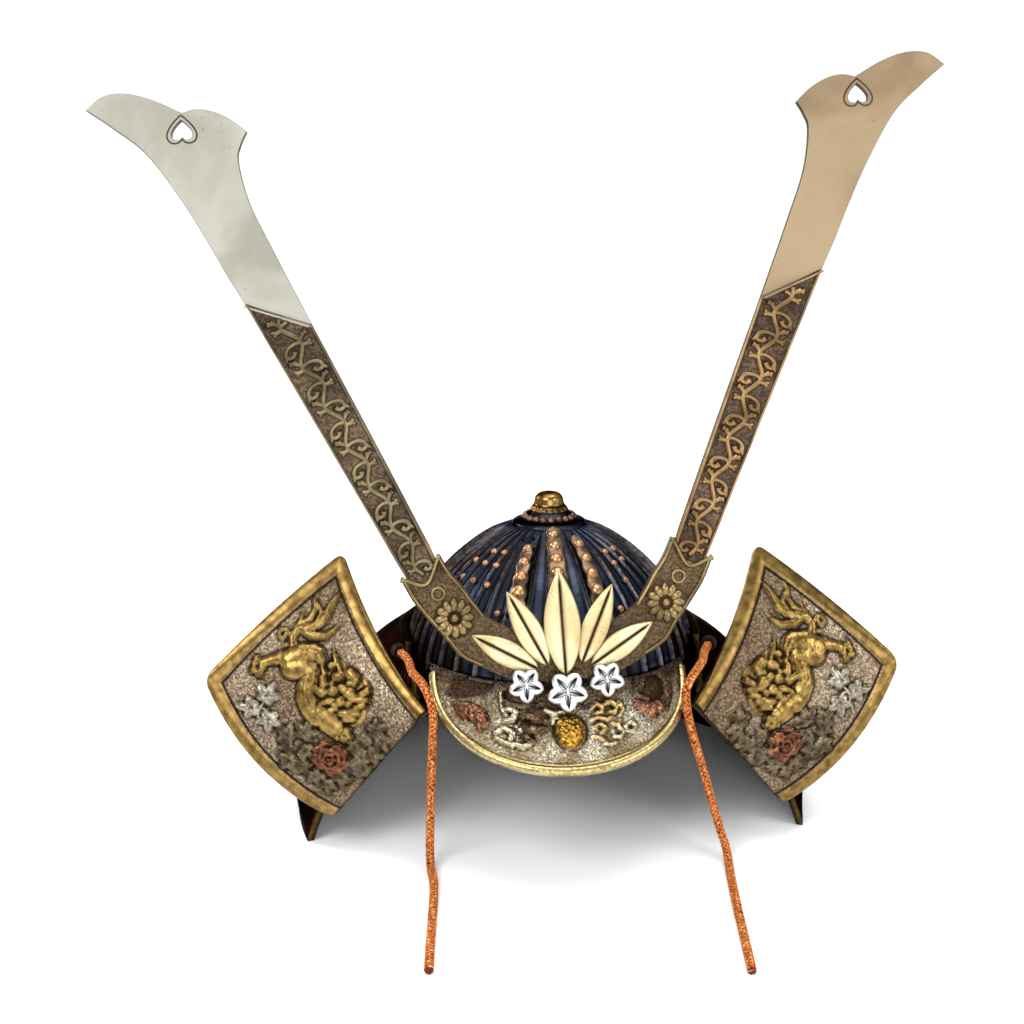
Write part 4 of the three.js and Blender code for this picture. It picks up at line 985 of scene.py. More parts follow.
def baseLine(rows, steps=6):
    return smoothLine([(a * baseSpan, b * baseRise) for a, b in rows], steps)


def makeHornBase():
    half = np.concatenate([baseLine(armOuter)[:-1], baseLine(armCusps, 3)[:-1], baseLine(armInner)])
    outline = np.concatenate([half, (half * (-1, 1))[-2:0:-1]])
    mesh = placeMesh(filledPlate("hornBase", outline, [], -baseThick, 0, 0.4), True)
    ground = makeMetal("baseGround", baseLook)
    edge = makeMetal("baseEdge", baseEdgeLook)
    finishMesh("hornBase", mesh, [ground], "horn_base", 35)
    centres = [(sign * a * baseSpan, b * baseRise, 0.0) for a, b in rosettes["places"] for sign in (-1, 1)]
    petals = growMesh("rosettes", centres, [], petalTree, {
        "Petals": rosettes["petals"], "Radius": rosettes["radius"], "Height": rosettes["height"],
        "Material": edge})
    finishMesh("rosettes", placeMesh(petals, True), [edge], "horn_base", 60)
    # Painted shade: a dark disc under each rosette shows dark between and round the petals
    dark = makeMetal("rosetteGround", rosetteShadeDiscLook)
    lines = []
    turn = np.linspace(0, 2 * np.pi, 29)
    for index, (x, y, _) in enumerate(centres):
        disc = np.column_stack([np.cos(turn), np.sin(turn)])[:-1] * rosettes["radius"] * 1.03 + (x, y)
        plate = placeMesh(filledPlate("rosetteGround", disc, [], -0.5, 0.14, 0.05), True)
        finishMesh("rosetteGround%d" % index, plate, [dark], "horn_base", 35)
    for sign in (-1, 1):
        flip = (sign, 1)
        for rows, shift, swell in ((armOuter[3:], (-0.75, 0.55), 0.85), (armInner[:5], (0.75, -0.35), 0.85)):
            lines.append(((baseLine(rows) + shift) * flip, swell))
        lines.append(((baseLine(armCusps, 3) + (-0.1, -0.7)) * flip, 1.25))
        centre = np.array(smallRing["place"]) * (baseSpan, baseRise)
        ring = centre + smallRing["radius"] * np.column_stack([np.cos(turn), np.sin(turn)])
        lines.append((ring * flip, 1.1))
    beads = beadMesh("baseBorders", lines, 1.1, 0.7, edge, 0.05)
    finishMesh("baseBorders", beads, [edge], "horn_base", 60)


makeHornBase()
print("stage: horn base")


# Crest leaves
leafSize = {"length": 33.5, "width": 11.9, "thick": 1.5, "dome": 1.25}
leafPlaces = [  # foot across, foot below, lean, share of the length, width, lift in plate thicknesses
    (0.26, 0.08, 1.03, 0.72, 0.70, 0.0), (-0.26, 0.08, -1.03, 0.72, 0.70, 0.0),
    (0.165, 0.05, 0.44, 0.81, 0.72, 0.45), (-0.165, 0.05, -0.44, 0.81, 0.72, 0.45),
    (0.0, 0.15, 0.0, 1.0, 1.0, 0.9),
]
leafEdge = [(0, 0.03), (0.06, 0.2), (0.16, 0.34), (0.3, 0.46), (0.46, 0.5), (0.6, 0.46), (0.74, 0.36),
            (0.86, 0.23), (0.95, 0.1), (1, 0.015)]
leafLook = {"light": tint(212, 196, 152), "dark": tint(184, 164, 116), "grimeAndShade": tint(84, 66, 54),
            "rough": (0.34, 0.5), "metallic": 0.55, "clouds": 55.0, "pits": (850.0, 0.2), "grain": 0.35}


def makeLeaf(name, foot, lean, length, width, lift, material):
    columns, rows = 31, 60
    s, t = np.meshgrid(np.linspace(-1, 1, columns), np.linspace(0, 1, rows))
    half = smoothTable(leafEdge, t)[0] * width
    side = np.abs(s)
    dome = np.sin(np.pi * np.clip(side, 0, 1) ** 0.85) ** 0.55
    fade = np.clip(np.minimum(t * 9, (1 - t) * 7), 0, 1) ** 0.5
    height = leafSize["thick"] * 0.45 + leafSize["dome"] * dome * fade
    groove = np.exp(-((side * half / 0.42) ** 2)) * np.clip((0.94 - t) * 14, 0, 1)
    # Painted shade: darker in the groove down the middle and along the edges
    cavity = np.clip(groove * 1.25 + np.clip((side - 0.93) * 9, 0, 1) * 0.5, 0, 1)
    x, y = s * half, t * length
    cos, sin = math.cos(-lean), math.sin(-lean)
    face = np.stack([foot[0] + x * cos - y * sin, foot[1] + x * sin + y * cos,
                     lift + height - 0.45 * groove], axis=-1)
    back = face.copy()
    back[..., 2] = lift
    mesh = wallMesh(name, face, back, {"cavity": cavity}, crestFrame=True)
    return finishMesh(name, mesh, [material], "crest_leaves", 50)


leafMetal = makeMetal("paleLeaf", leafLook)
for index, (across, below, lean, share, broad, layer) in enumerate(leafPlaces):
    makeLeaf("leaf%d" % index, (across * leafSize["length"], -below * leafSize["length"]), lean,
             share * leafSize["length"], broad * leafSize["width"], 0.3 + layer * leafSize["thick"], leafMetal)
print("stage: leaves")


# Flowers
flowerSize = {"radius": 6.0, "lift": 0.6}
flowerPlaces = {  # across, down, lift and size, as shares
    "left": (-0.255, 1.06, 1.0, 0.94),
    "centre": (0.0, 1.47, 1.7, 1.08),
    "right": (0.255, 1.06, 1.0, 0.94),
}
flowerLook = {"light": tint(226, 226, 224), "dark": tint(198, 198, 197), "grimeAndShade": tint(48, 45, 46),
              "rough": (0.2, 0.36), "metallic": 0.7, "clouds": 220.0, "grain": 0.25}


def makeFlower(side, place, material):
    across, below, lift, scale = place
    around, rings = 160, 26
    a, r = np.meshgrid(np.arange(around) / around * 2 * np.pi, np.linspace(0, 1, rings))
    petal = ((a + np.pi / 2) % (2 * np.pi / 5)) / (2 * np.pi / 5)
    off = np.abs(np.where(petal > 0.5, petal - 1, petal)) * 2
    edge = flowerSize["radius"] * scale * (1.04 - 0.3 * off**1.4)
    rim = np.exp(-(((r - 0.78) / 0.2) ** 2))
    reach = 0.8 - 0.5 * off**0.7
    star = np.clip((reach - r) / 0.12, 0, 1)
    crease = np.exp(-((off / 0.16) ** 2)) * np.clip((0.86 - r) / 0.1, 0, 1)
    height = 0.5 + 0.95 * rim * (1 - 0.35 * off) - 0.55 * star - 0.25 * crease
    height -= 0.35 * np.clip((r - 0.9) / 0.1, 0, 1)
    outline = np.exp(-(((r - reach) / 0.05) ** 2))
    # Painted shade: darker in the creases, inside and round the sunken star, and at the outer edge
    cavity = np.clip(crease * 0.9 + outline * 0.75 + star * 0.5 + (r > 0.97) * 0.8, 0, 1)
    centre = (across * baseSpan, -below * baseDepth)
    base = flowerSize["lift"] + lift * leafSize["thick"]
    face = np.stack([centre[0] + edge * r * np.cos(a), centre[1] + edge * r * np.sin(a),
                     base + height + 0.7], axis=-1)
    back = face.copy()
    back[..., 2] = base
    face, back = (np.concatenate([grid, grid[:, :1]], axis=1) for grid in (face, back))
    cavity = np.concatenate([cavity, cavity[:, :1]], axis=1)
    mesh = wallMesh("flower" + side, face, back, {"cavity": cavity}, wraps=True, crestFrame=True)
    finishMesh("flower" + side.capitalize(), mesh, [material], "flower_" + side, 60)
    stem = [(centre[0], centre[1] + up) for up in (-1.0 * scale, -0.2, 1.1 * scale)]
    beads = beadMesh("stamen" + side, [(stem, [1.1, 1.0, 0.7])], 1.15, 0.8, material, base + 1.25)
    finishMesh("stamen" + side.capitalize(), beads, [material], "flower_" + side, 60)


silver = makeMetal("brightSilver", flowerLook)
for side, place in flowerPlaces.items():
    makeFlower(side, place, silver)
print("stage: flowers")


# Bowl: a ribbed dome grown by a tree, with a small slanted hole
bowlSize = {
    "Half width": 51.0,
    "Half length": 54.0,
    "Height": 44.0,
    "Seat": 60.0,
    "Wall": 2.2,
    "Columns": 701,
    "Rows": 90,
    "Ribs": 58.0,
    "Spread": 0.4,
    "Rib raise": 1.15,
    "Rib width": 0.09,
    "Rib end": 0.82,
    "Crown lift": 3.4,
    "Crown start": 0.35,
}
bowlPower = 2 / 1.8
crownSpan, crownPower = 0.55, 1.3
bowlHole = {"turn": -0.52, "rise": 0.752, "long": 5.2, "short": 3.4, "slant": 0.3}
bowlLook = {
    "light": tint(54, 60, 73), "dark": tint(42, 37, 36), "grimeAndShade": tint(11, 10, 11), "rough": (0.22, 0.42),
    "metallic": 1.0, "clouds": 42.0, "grimeAndShadeAmount": 0.95, "grain": 0.6, "edgeTint": (0.16, 0.16, 0.18),
    # Painted highlight: the rib lines take a lighter tone
    "tones": {"rib": (tint(84, 76, 68), tint(38, 32, 29))},
}


def makeDomeTree():
    kinds = {"Columns": "Int", "Rows": "Int"}
    sizes = [(label, kinds.get(label, "Float"), value) for label, value in bowlSize.items()]
    tree, given = geometryTree("ribbedDome", sizes + [("Material", "Material", None)])
    grid = addNode(tree, "GeometryNodeMeshGrid", Size_X=1.0, Size_Y=1.0, Vertices_X=given["Columns"],
                   Vertices_Y=given["Rows"])
    place = addNode(tree, "ShaderNodeSeparateXYZ", Vector=addNode(tree, "GeometryNodeInputPosition").outputs[0])
    turn = maths(tree, "MULTIPLY", place.outputs[0], 2 * math.pi)
    share = maths(tree, "ADD", place.outputs[1], 0.5)
    folded = maths(tree, "MINIMUM", share, maths(tree, "SUBTRACT", 1.0, share))
    stretch = maths(tree, "DIVIDE", maths(tree, "SUBTRACT", given["Rows"], 1.0),
                    maths(tree, "SUBTRACT", maths(tree, "MULTIPLY", given["Rows"], 0.5), 1.0))
    rise = maths(tree, "SUBTRACT", 1.0, maths(tree, "MULTIPLY", folded, stretch), clamp=True)
    inside = maths(tree, "GREATER_THAN", share, 0.5)
    outside = maths(tree, "SUBTRACT", 1.0, inside)
    angle = maths(tree, "MULTIPLY", rise, math.pi / 2)
    radius = maths(tree, "POWER", maths(tree, "MAXIMUM", maths(tree, "COSINE", angle), 0.0), bowlPower)
    height = maths(tree, "POWER", maths(tree, "SINE", angle), bowlPower)

    # Ribs: wide plates in front, closer ribs at the sides and the back
    warped = maths(tree, "SUBTRACT", turn, maths(tree, "MULTIPLY", given["Spread"], maths(tree, "SINE", turn)))
    phase = maths(tree, "MULTIPLY", warped, maths(tree, "DIVIDE", given["Ribs"], 2 * math.pi))
    off = maths(tree, "ABSOLUTE", maths(tree, "SUBTRACT", maths(tree, "FLOORED_MODULO", phase, 1.0), 0.5))
    fade = maths(tree, "MULTIPLY", maths(tree, "SUBTRACT", given["Rib end"], rise), 7.0, clamp=True)

    def hump(value, middle, width):
        scaled = maths(tree, "DIVIDE", maths(tree, "SUBTRACT", value, middle), width)
        return maths(tree, "EXPONENT", maths(tree, "MULTIPLY", maths(tree, "MULTIPLY", scaled, scaled), -1.0))

    line = maths(tree, "MULTIPLY", maths(tree, "MULTIPLY", hump(off, 0.0, given["Rib width"]), fade), outside)
    # Painted shade: the cavity darkens the valleys beside the ribs, the top ring under the knob and the whole
    # inside wall
    valley = maths(tree, "MULTIPLY", maths(tree, "MULTIPLY", hump(off, 0.25, 0.09), fade), 0.85)
    crown = ramp(tree, rise, 0.9, 0.99)
    cavity = maths(tree, "MAXIMUM", maths(tree, "MAXIMUM", valley, crown), maths(tree, "MULTIPLY", inside, 0.6))
    grow = maths(tree, "SUBTRACT", maths(tree, "MULTIPLY", line, given["Rib raise"]),
                 maths(tree, "MULTIPLY", inside, given["Wall"]))
    broad = maths(tree, "MULTIPLY", maths(tree, "ADD", given["Half width"], grow), radius)
    deep = maths(tree, "MULTIPLY", maths(tree, "ADD", given["Half length"], grow), radius)
    upper = maths(tree, "DIVIDE", maths(tree, "SUBTRACT", rise, given["Crown start"]), crownSpan, clamp=True)
    lift = maths(tree, "MULTIPLY", maths(tree, "POWER", upper, crownPower), given["Crown lift"])
    tall = maths(tree, "ADD", maths(tree, "MULTIPLY", maths(tree, "ADD", given["Height"], grow), height), lift)
    spot = addNode(tree, "ShaderNodeCombineXYZ", X=maths(tree, "MULTIPLY", broad, maths(tree, "SINE", turn)),
                   Y=maths(tree, "MULTIPLY", maths(tree, "MULTIPLY", deep, maths(tree, "COSINE", turn)), -1.0),
                   Z=maths(tree, "ADD", given["Seat"], tall))
    geometry = grid.outputs[0]
    # The rib mask carries a painted highlight along the ribs; the cavity carries painted shade
    for label, value in (("cavity", cavity), ("rib", line)):
        store = addNode(tree, "GeometryNodeStoreNamedAttribute", Geometry=geometry, Name=label, Value=value)
        geometry = store.outputs[0]
    placed = addNode(tree, "GeometryNodeSetPosition", Geometry=geometry, Position=spot.outputs[0])
    closeTree(tree, placed.outputs[0], given["Material"])
    return tree


def bowlPoint(turn, rise, grow=0.0):
    angle = np.clip(rise, 0, 1) * np.pi / 2
    radius = np.maximum(np.cos(angle), 0) ** bowlPower
    up = np.sin(angle) ** bowlPower
    lift = bowlSize["Crown lift"] * np.clip((rise - bowlSize["Crown start"]) / crownSpan, 0, 1) ** crownPower
    return np.stack([(bowlSize["Half width"] + grow) * radius * np.sin(turn),
                     -(bowlSize["Half length"] + grow) * radius * np.cos(turn),
                     bowlSize["Seat"] + (bowlSize["Height"] + grow) * up + lift + 0 * turn], axis=-1)


def faceOutwards(mesh, near=0.002):
    work = bmesh.new()
    work.from_mesh(mesh)
    bmesh.ops.remove_doubles(work, verts=work.verts, dist=near)
    bmesh.ops.dissolve_degenerate(work, edges=work.edges, dist=near / 2)
    bmesh.ops.recalc_face_normals(work, faces=work.faces)
    work.to_mesh(mesh)
    work.free()


# Cuts one mesh out of another, both in millimetres
def cutAway(mesh, cutter):
    holder = bpy.data.objects.new("whole", mesh)
    tool = bpy.data.objects.new("cutter", cutter)
    for item in (holder, tool):
        scene.collection.objects.link(item)
    modifier = holder.modifiers.new("cut", "BOOLEAN")
    modifier.operation = "DIFFERENCE"
    modifier.solver = "EXACT"
    modifier.object = tool
    bpy.context.view_layer.update()
    result = bpy.data.meshes.new_from_object(holder.evaluated_get(bpy.context.evaluated_depsgraph_get()))
    for item in (holder, tool):
        bpy.data.objects.remove(item)
    return result


def makeBowl():
    metal = makeMetal("blueBlack", bowlLook)
    mesh = growMesh("bowl", [(0, 0, 0)], [], makeDomeTree(), {**bowlSize, "Material": metal})
    faceOutwards(mesh)
    hole = bowlHole
    step = 0.01
    middle = bowlPoint(np.array(hole["turn"]), np.array(hole["rise"]))
    right = unit(bowlPoint(np.array(hole["turn"] + step), np.array(hole["rise"])) - middle)
    up = unit(bowlPoint(np.array(hole["turn"]), np.array(hole["rise"] + step)) - middle)
    out = unit(np.cross(right, up))
    longWay = right * math.cos(hole["slant"]) + up * math.sin(hole["slant"])
    shortWay = np.cross(out, longWay)
    around = np.arange(32) / 32 * 2 * np.pi
    ring = middle + (longWay * hole["long"] / 2 * np.cos(around)[:, None]
                     + shortWay * hole["short"] / 2 * np.sin(around)[:, None])
    reach = 6
    cutter = bpy.data.meshes.new("cutter")
    sides = [(i, (i + 1) % 32, 32 + (i + 1) % 32, 32 + i) for i in range(32)]
    cutter.from_pydata(np.concatenate([ring - out * reach, ring + out * reach]).tolist(), [],
                       sides + [list(range(31, -1, -1)), list(range(32, 64))])
    faceOutwards(cutter)
    mesh = cutAway(mesh, cutter)
    mesh.materials.clear()
    finishMesh("ribbedBowl", placeMesh(mesh), [metal], "bowl", 50)


makeBowl()
print("stage: bowl")


# Gilt strips down the brow, and cast rivets
stripLook = {
    "light": tint(124, 100, 74), "dark": tint(58, 48, 42), "grimeAndShade": tint(22, 18, 20), "rough": (0.2, 0.42),
    "metallic": 0.95, "clouds": 170.0,
    # The bumps take a lighter copper tone, partly the gilt and partly a painted highlight
    "tones": {"bump": (tint(204, 156, 108), tint(126, 88, 62))},
}
browStrips = [  # ends: top, foot; bumps: how many, the first one and the step, as shares of the length
    {"turns": (0.02, 0.0), "rises": (0.83, 0.3), "widths": (4.8, 9.0), "flare": 0.0,
     "bumps": (6, 0.1, 0.13)},
    {"turns": (-0.42, -0.35), "rises": (0.712, 0.36), "widths": (4.0, 6.4), "flare": 0.25,
     "bumps": (5, 0.08, 0.195)},
    {"turns": (0.435, 0.35), "rises": (0.76, 0.36), "widths": (4.0, 6.4), "flare": 0.3,
     "bumps": (5, 0.14, 0.19)},
]
stripBumps = {"small": 1.5, "large": 2.5, "height": 1.05}
rivetCrop = (440, 460, 8)
rivetMarks = [  # drawn over the crop, left side and then right side
    (440, 740), (520, 750), (300, 805), (370, 830), (455, 850), (195, 940), (275, 970), (385, 1005), (464, 1232),
    (1315, 740), (1375, 715), (1385, 830), (1445, 800), (1480, 968), (1440, 1192),
]
rivetSize = {"Radius": 1.25, "Height": 1.1}
rivetLook = {"light": tint(176, 128, 96), "dark": tint(124, 86, 66), "grimeAndShade": tint(54, 36, 30),
             "rough": (0.28, 0.45), "metallic": 0.85, "clouds": 300.0}


def makeStrip(index, strip, material):
    columns, rows = 21, 130
    s, t = np.meshgrid(np.linspace(-1, 1, columns), np.linspace(0, 1, rows))
    rise = strip["rises"][0] * (1 - t) + strip["rises"][1] * t
    spread = 1 + strip["flare"] * np.exp(-(((t - 0.92) / 0.08) ** 2)) + 0.08 * np.sin(t * 37 + 2 * index)
    point = np.sqrt(np.clip((1 - t) / 0.06, 0, 1)) * np.sqrt(np.clip(t / 0.03, 0, 1))
    width = (strip["widths"][0] * (1 - t) + strip["widths"][1] * t) * spread * point
    reach = bowlSize["Half width"] * np.cos(rise * np.pi / 2) ** bowlPower
    turn = strip["turns"][0] * (1 - t) + strip["turns"][1] * t + s * width / 2 / reach
    base = bowlPoint(turn, rise, 1.2)
    height = 1.15 + 0.25 * (1 - s**2) - 0.35 * np.abs(s) ** 8
    bump = np.zeros_like(height)
    count, first, step = strip["bumps"]
    for share in first + step * np.arange(count):
        radius = stripBumps["small"] * (1 - share) + stripBumps["large"] * share
        middle = bowlPoint(np.array(strip["turns"][0] * (1 - share) + strip["turns"][1] * share),
                           np.array(strip["rises"][0] * (1 - share) + strip["rises"][1] * share), 1.2)
        off = np.linalg.norm(base - middle, axis=-1) / radius
        bump = np.maximum(bump, np.sqrt(np.clip(1 - off**2, 0, 1)))
    # Painted shade: darker along the strip's edges and a little on the flat between the bumps
    cavity = np.clip(np.abs(s) ** 10 * 0.8 + (bump == 0) * 0.15, 0, 1)
    face = bowlPoint(turn, rise, height + stripBumps["height"] * bump)
    mesh = wallMesh("browStrip%d" % index, face, bowlPoint(turn, rise, -0.4),
                    {"cavity": cavity, "bump": np.clip(bump * 1.6, 0, 1)})
    finishMesh("browStrip%d" % index, mesh, [material], "bowl", 50)


gilt = makeMetal("wornGilt", stripLook)
for index, strip in enumerate(browStrips):
    makeStrip(index, strip, gilt)


def makeRivets():
    turn, rise = np.meshgrid(np.linspace(-1.6, 1.6, 1200), np.linspace(0, 1, 700))
    marks = [[(x, y, 0) for x, y in rivetMarks]]
    places = np.array(readTracing(marks, rivetCrop, bowlPoint(turn, rise), turn, rise)[0])
    metal = makeMetal("rivetCopper", rivetLook)
    points = bowlPoint(places[:, 0], places[:, 1], 0.35)
    stands = bowlPoint(places[:, 0], places[:, 1], 1.35) - points
    mesh = growMesh("rivets", points, [], rivetTree, {**rivetSize, "Material": metal},
                    {"stands": unit(stands), "swell": np.ones(len(points))})
    finishMesh("rivets", placeMesh(mesh), [metal], "bowl", 60)


makeRivets()
print("stage: brow strips and rivets")


# Crown knob: a lathed dome over a petal collar, a beaded ring and a dark base ring
knobSize = {"radius": 13.4, "height": 10.9, "foot": 105.3, "petals": 18, "petalDepth": 0.7, "beads": 20}
knobProfile = [  # share of the radius, share of the height
    (0.0, -0.1), (0.97, -0.25), (1.0, -0.12), (0.98, 0.02), (0.92, 0.07), (0.82, 0.1), (0.7, 0.13),
    (0.665, 0.17), (0.67, 0.22), (0.625, 0.28), (0.56, 0.33), (0.52, 0.38), (0.515, 0.44), (0.475, 0.5),
    (0.43, 0.56), (0.4, 0.63), (0.385, 0.72), (0.365, 0.82), (0.31, 0.91), (0.19, 0.98), (0.0, 1.0),
]
knobLook = {
    "light": tint(140, 112, 66), "dark": tint(66, 52, 38), "grimeAndShade": tint(24, 19, 19), "rough": (0.14, 0.34),
    "metallic": 1.0, "clouds": 160.0,
    "edgeTint": (0.24, 0.21, 0.18),
    "tones": {"baseRing": (tint(48, 52, 62), tint(40, 36, 36))},
}
beadLook = {"light": tint(128, 92, 70), "dark": tint(58, 43, 38), "grimeAndShade": tint(46, 34, 30),
            "rough": (0.26, 0.45), "metallic": 0.88, "clouds": 300.0}


def makeKnob():
    size = knobSize
    profile = smoothLine(knobProfile, 5)
    around = 161
    angle, row = np.meshgrid(np.linspace(0, 2 * np.pi, around), np.arange(len(profile)))
    radius = np.maximum(profile[row, 0], 0) * size["radius"]
    height = size["foot"] + profile[row, 1] * size["height"]
    share = profile[row, 1]
    collar = np.exp(-(((share - 0.46) / 0.055) ** 2))
    notch = np.abs(np.cos(size["petals"] / 2 * angle)) ** 0.6
    radius = radius - (1 - notch) * collar * size["petalDepth"]
    # Painted shade: darker in the gaps of the petal collar and in the grooves between the tiers
    cavity = np.clip((1 - notch) * collar * 1.2 + np.exp(-(((share - 0.57) / 0.035) ** 2))
                     + np.exp(-(((share - 0.39) / 0.03) ** 2)) * 0.8
                     + np.exp(-(((share - 0.165) / 0.03) ** 2)) * 0.8, 0, 1)
    ring = np.clip((0.42 - share) / 0.04, 0, 1)
    points = np.stack([radius * np.sin(angle), -radius * np.cos(angle), height], axis=-1)
    mesh = bpy.data.meshes.new("crownKnob")
    mesh.from_pydata(toMetres(points), [], gridFaces(len(profile), around))
    for label, values in (("cavity", cavity), ("baseRing", ring)):
        storeFloats(mesh, label, values)
    finishMesh("crownKnob", mesh, [makeMetal("knobBrass", knobLook)], "crown_knob", 60)
    turn = np.arange(size["beads"]) / size["beads"] * 2 * np.pi
    reach = 0.655 * size["radius"]
    centres = np.stack([reach * np.sin(turn), -reach * np.cos(turn),
                        np.full_like(turn, size["foot"] + 0.2 * size["height"])], axis=-1)
    copper = makeMetal("beadCopper", beadLook)
    stands = np.stack([np.sin(turn), -np.cos(turn), np.full_like(turn, 0.9)], axis=-1)
    beads = growMesh("knobBeads", centres, [], rivetTree, {"Radius": 1.2, "Height": 1.0, "Material": copper},
                     {"stands": unit(stands), "swell": np.ones(len(centres))})
    finishMesh("knobBeads", placeMesh(beads), [copper], "crown_knob", 60)


makeKnob()
print("stage: knob")


# Neck guard: a fluted skirt round the back and the sides
guardSize = {
    "top": 66.0,
    "halfWidth": 95.5,
    "back": 92.0,
    "front": 35.0,
    "middle": 6.0,
    "turn": 0.62,
    "wall": 2.2,
    "flutes": 118,
    "fluteDepth": 0.5,
    "columns": 709,
    "rows": 30,
}
guardTable = [  # down, height, side, back, end to the side, end to the front
    (0, 1, 0.57, 0.625, 0.548, 0.45), (0.12, 0.962, 0.605, 0.66, 0.53, 0.8),
    (0.27, 0.864, 0.7, 0.75, 0.508, 1.15), (0.44, 0.682, 0.825, 0.845, 0.545, 1.18),
    (0.6, 0.485, 0.925, 0.92, 0.66, 1.17), (0.78, 0.258, 0.985, 0.97, 0.838, 1.08),
    (0.9, 0.121, 1, 0.99, 0.89, 1.02), (1, 0, 0.985, 1, 0.92, 1),
]
guardLook = {
    "light": tint(48, 38, 30), "dark": tint(30, 25, 21), "grimeAndShade": tint(9, 8, 7), "rough": (0.26, 0.46),
    "metallic": 1.0, "clouds": 60.0, "grimeAndShadeAmount": 0.9, "edgeTint": (0.32, 0.28, 0.25),
    "tones": {"gilt": (tint(112, 92, 60), tint(80, 64, 44))},
}


def guardPoint(across, down):
    size = guardSize
    tall, side, behind, endSide, endFront = smoothTable(guardTable, down)
    side, endSide = side * size["halfWidth"], endSide * size["halfWidth"]
    behind, endFront, tall = behind * size["back"], endFront * size["front"], tall * size["top"]
    half = np.abs(across)
    angle = np.minimum(half / size["turn"], 1) * np.pi / 2
    t = np.clip((half - size["turn"]) / (1 - size["turn"]), 0, 1)
    middle = size["middle"]
    bend = (middle - endFront) / 2
    curved = half <= size["turn"]
    x = np.where(curved, side * np.sin(angle), (1 - t) ** 2 * side + 2 * t * (1 - t) * side + t**2 * endSide)
    y = np.where(curved, middle + (behind - middle) * np.cos(angle),
                 (1 - t) ** 2 * middle + 2 * t * (1 - t) * bend - t**2 * endFront)
    return np.stack([np.sign(across) * x, y, tall + 0 * x], axis=-1)


def outwardNormals(grid, away):
    normal = unit(np.cross(np.gradient(grid, axis=1), np.gradient(grid, axis=0)))
    flip = np.sign((normal * away).sum(axis=-1, keepdims=True))
    return normal * np.where(flip == 0, 1, flip)


def makeGuard():
    size = guardSize
    across, down = np.meshgrid(np.linspace(-1, 1, size["columns"]), np.linspace(0, 1, size["rows"]))
    grid = guardPoint(across, down)
    level = grid * (1, 1, 0)
    normal = outwardNormals(grid, level)
    normal[[0, -1], :, 2] = 0
    normal = unit(normal)
    wave = 0.5 + 0.5 * np.cos(across * size["flutes"] * np.pi)
    fade = np.clip(np.minimum(down * 12, (1 - down) * 9), 0, 1) * np.clip((1 - np.abs(across)) * 40, 0, 1)
    face = grid - unit(level) * (size["fluteDepth"] * (1 - wave**0.7) * fade)[..., None]
    back = grid - normal * size["wall"]
    # Painted shade: darker down the valleys of the flutes
    cavity = np.clip((1 - wave) * fade * 1.1, 0, 1)
    gilt = np.clip((np.abs(across) - 0.985) * 200, 0, 1)
    mesh = wallMesh("neckGuard", face, back, {"cavity": cavity, "gilt": gilt})
    finishMesh("neckGuard", mesh, [makeMetal("darkBrown", guardLook)], "neck_guard", 55)


makeGuard()
print("stage: neck guard")


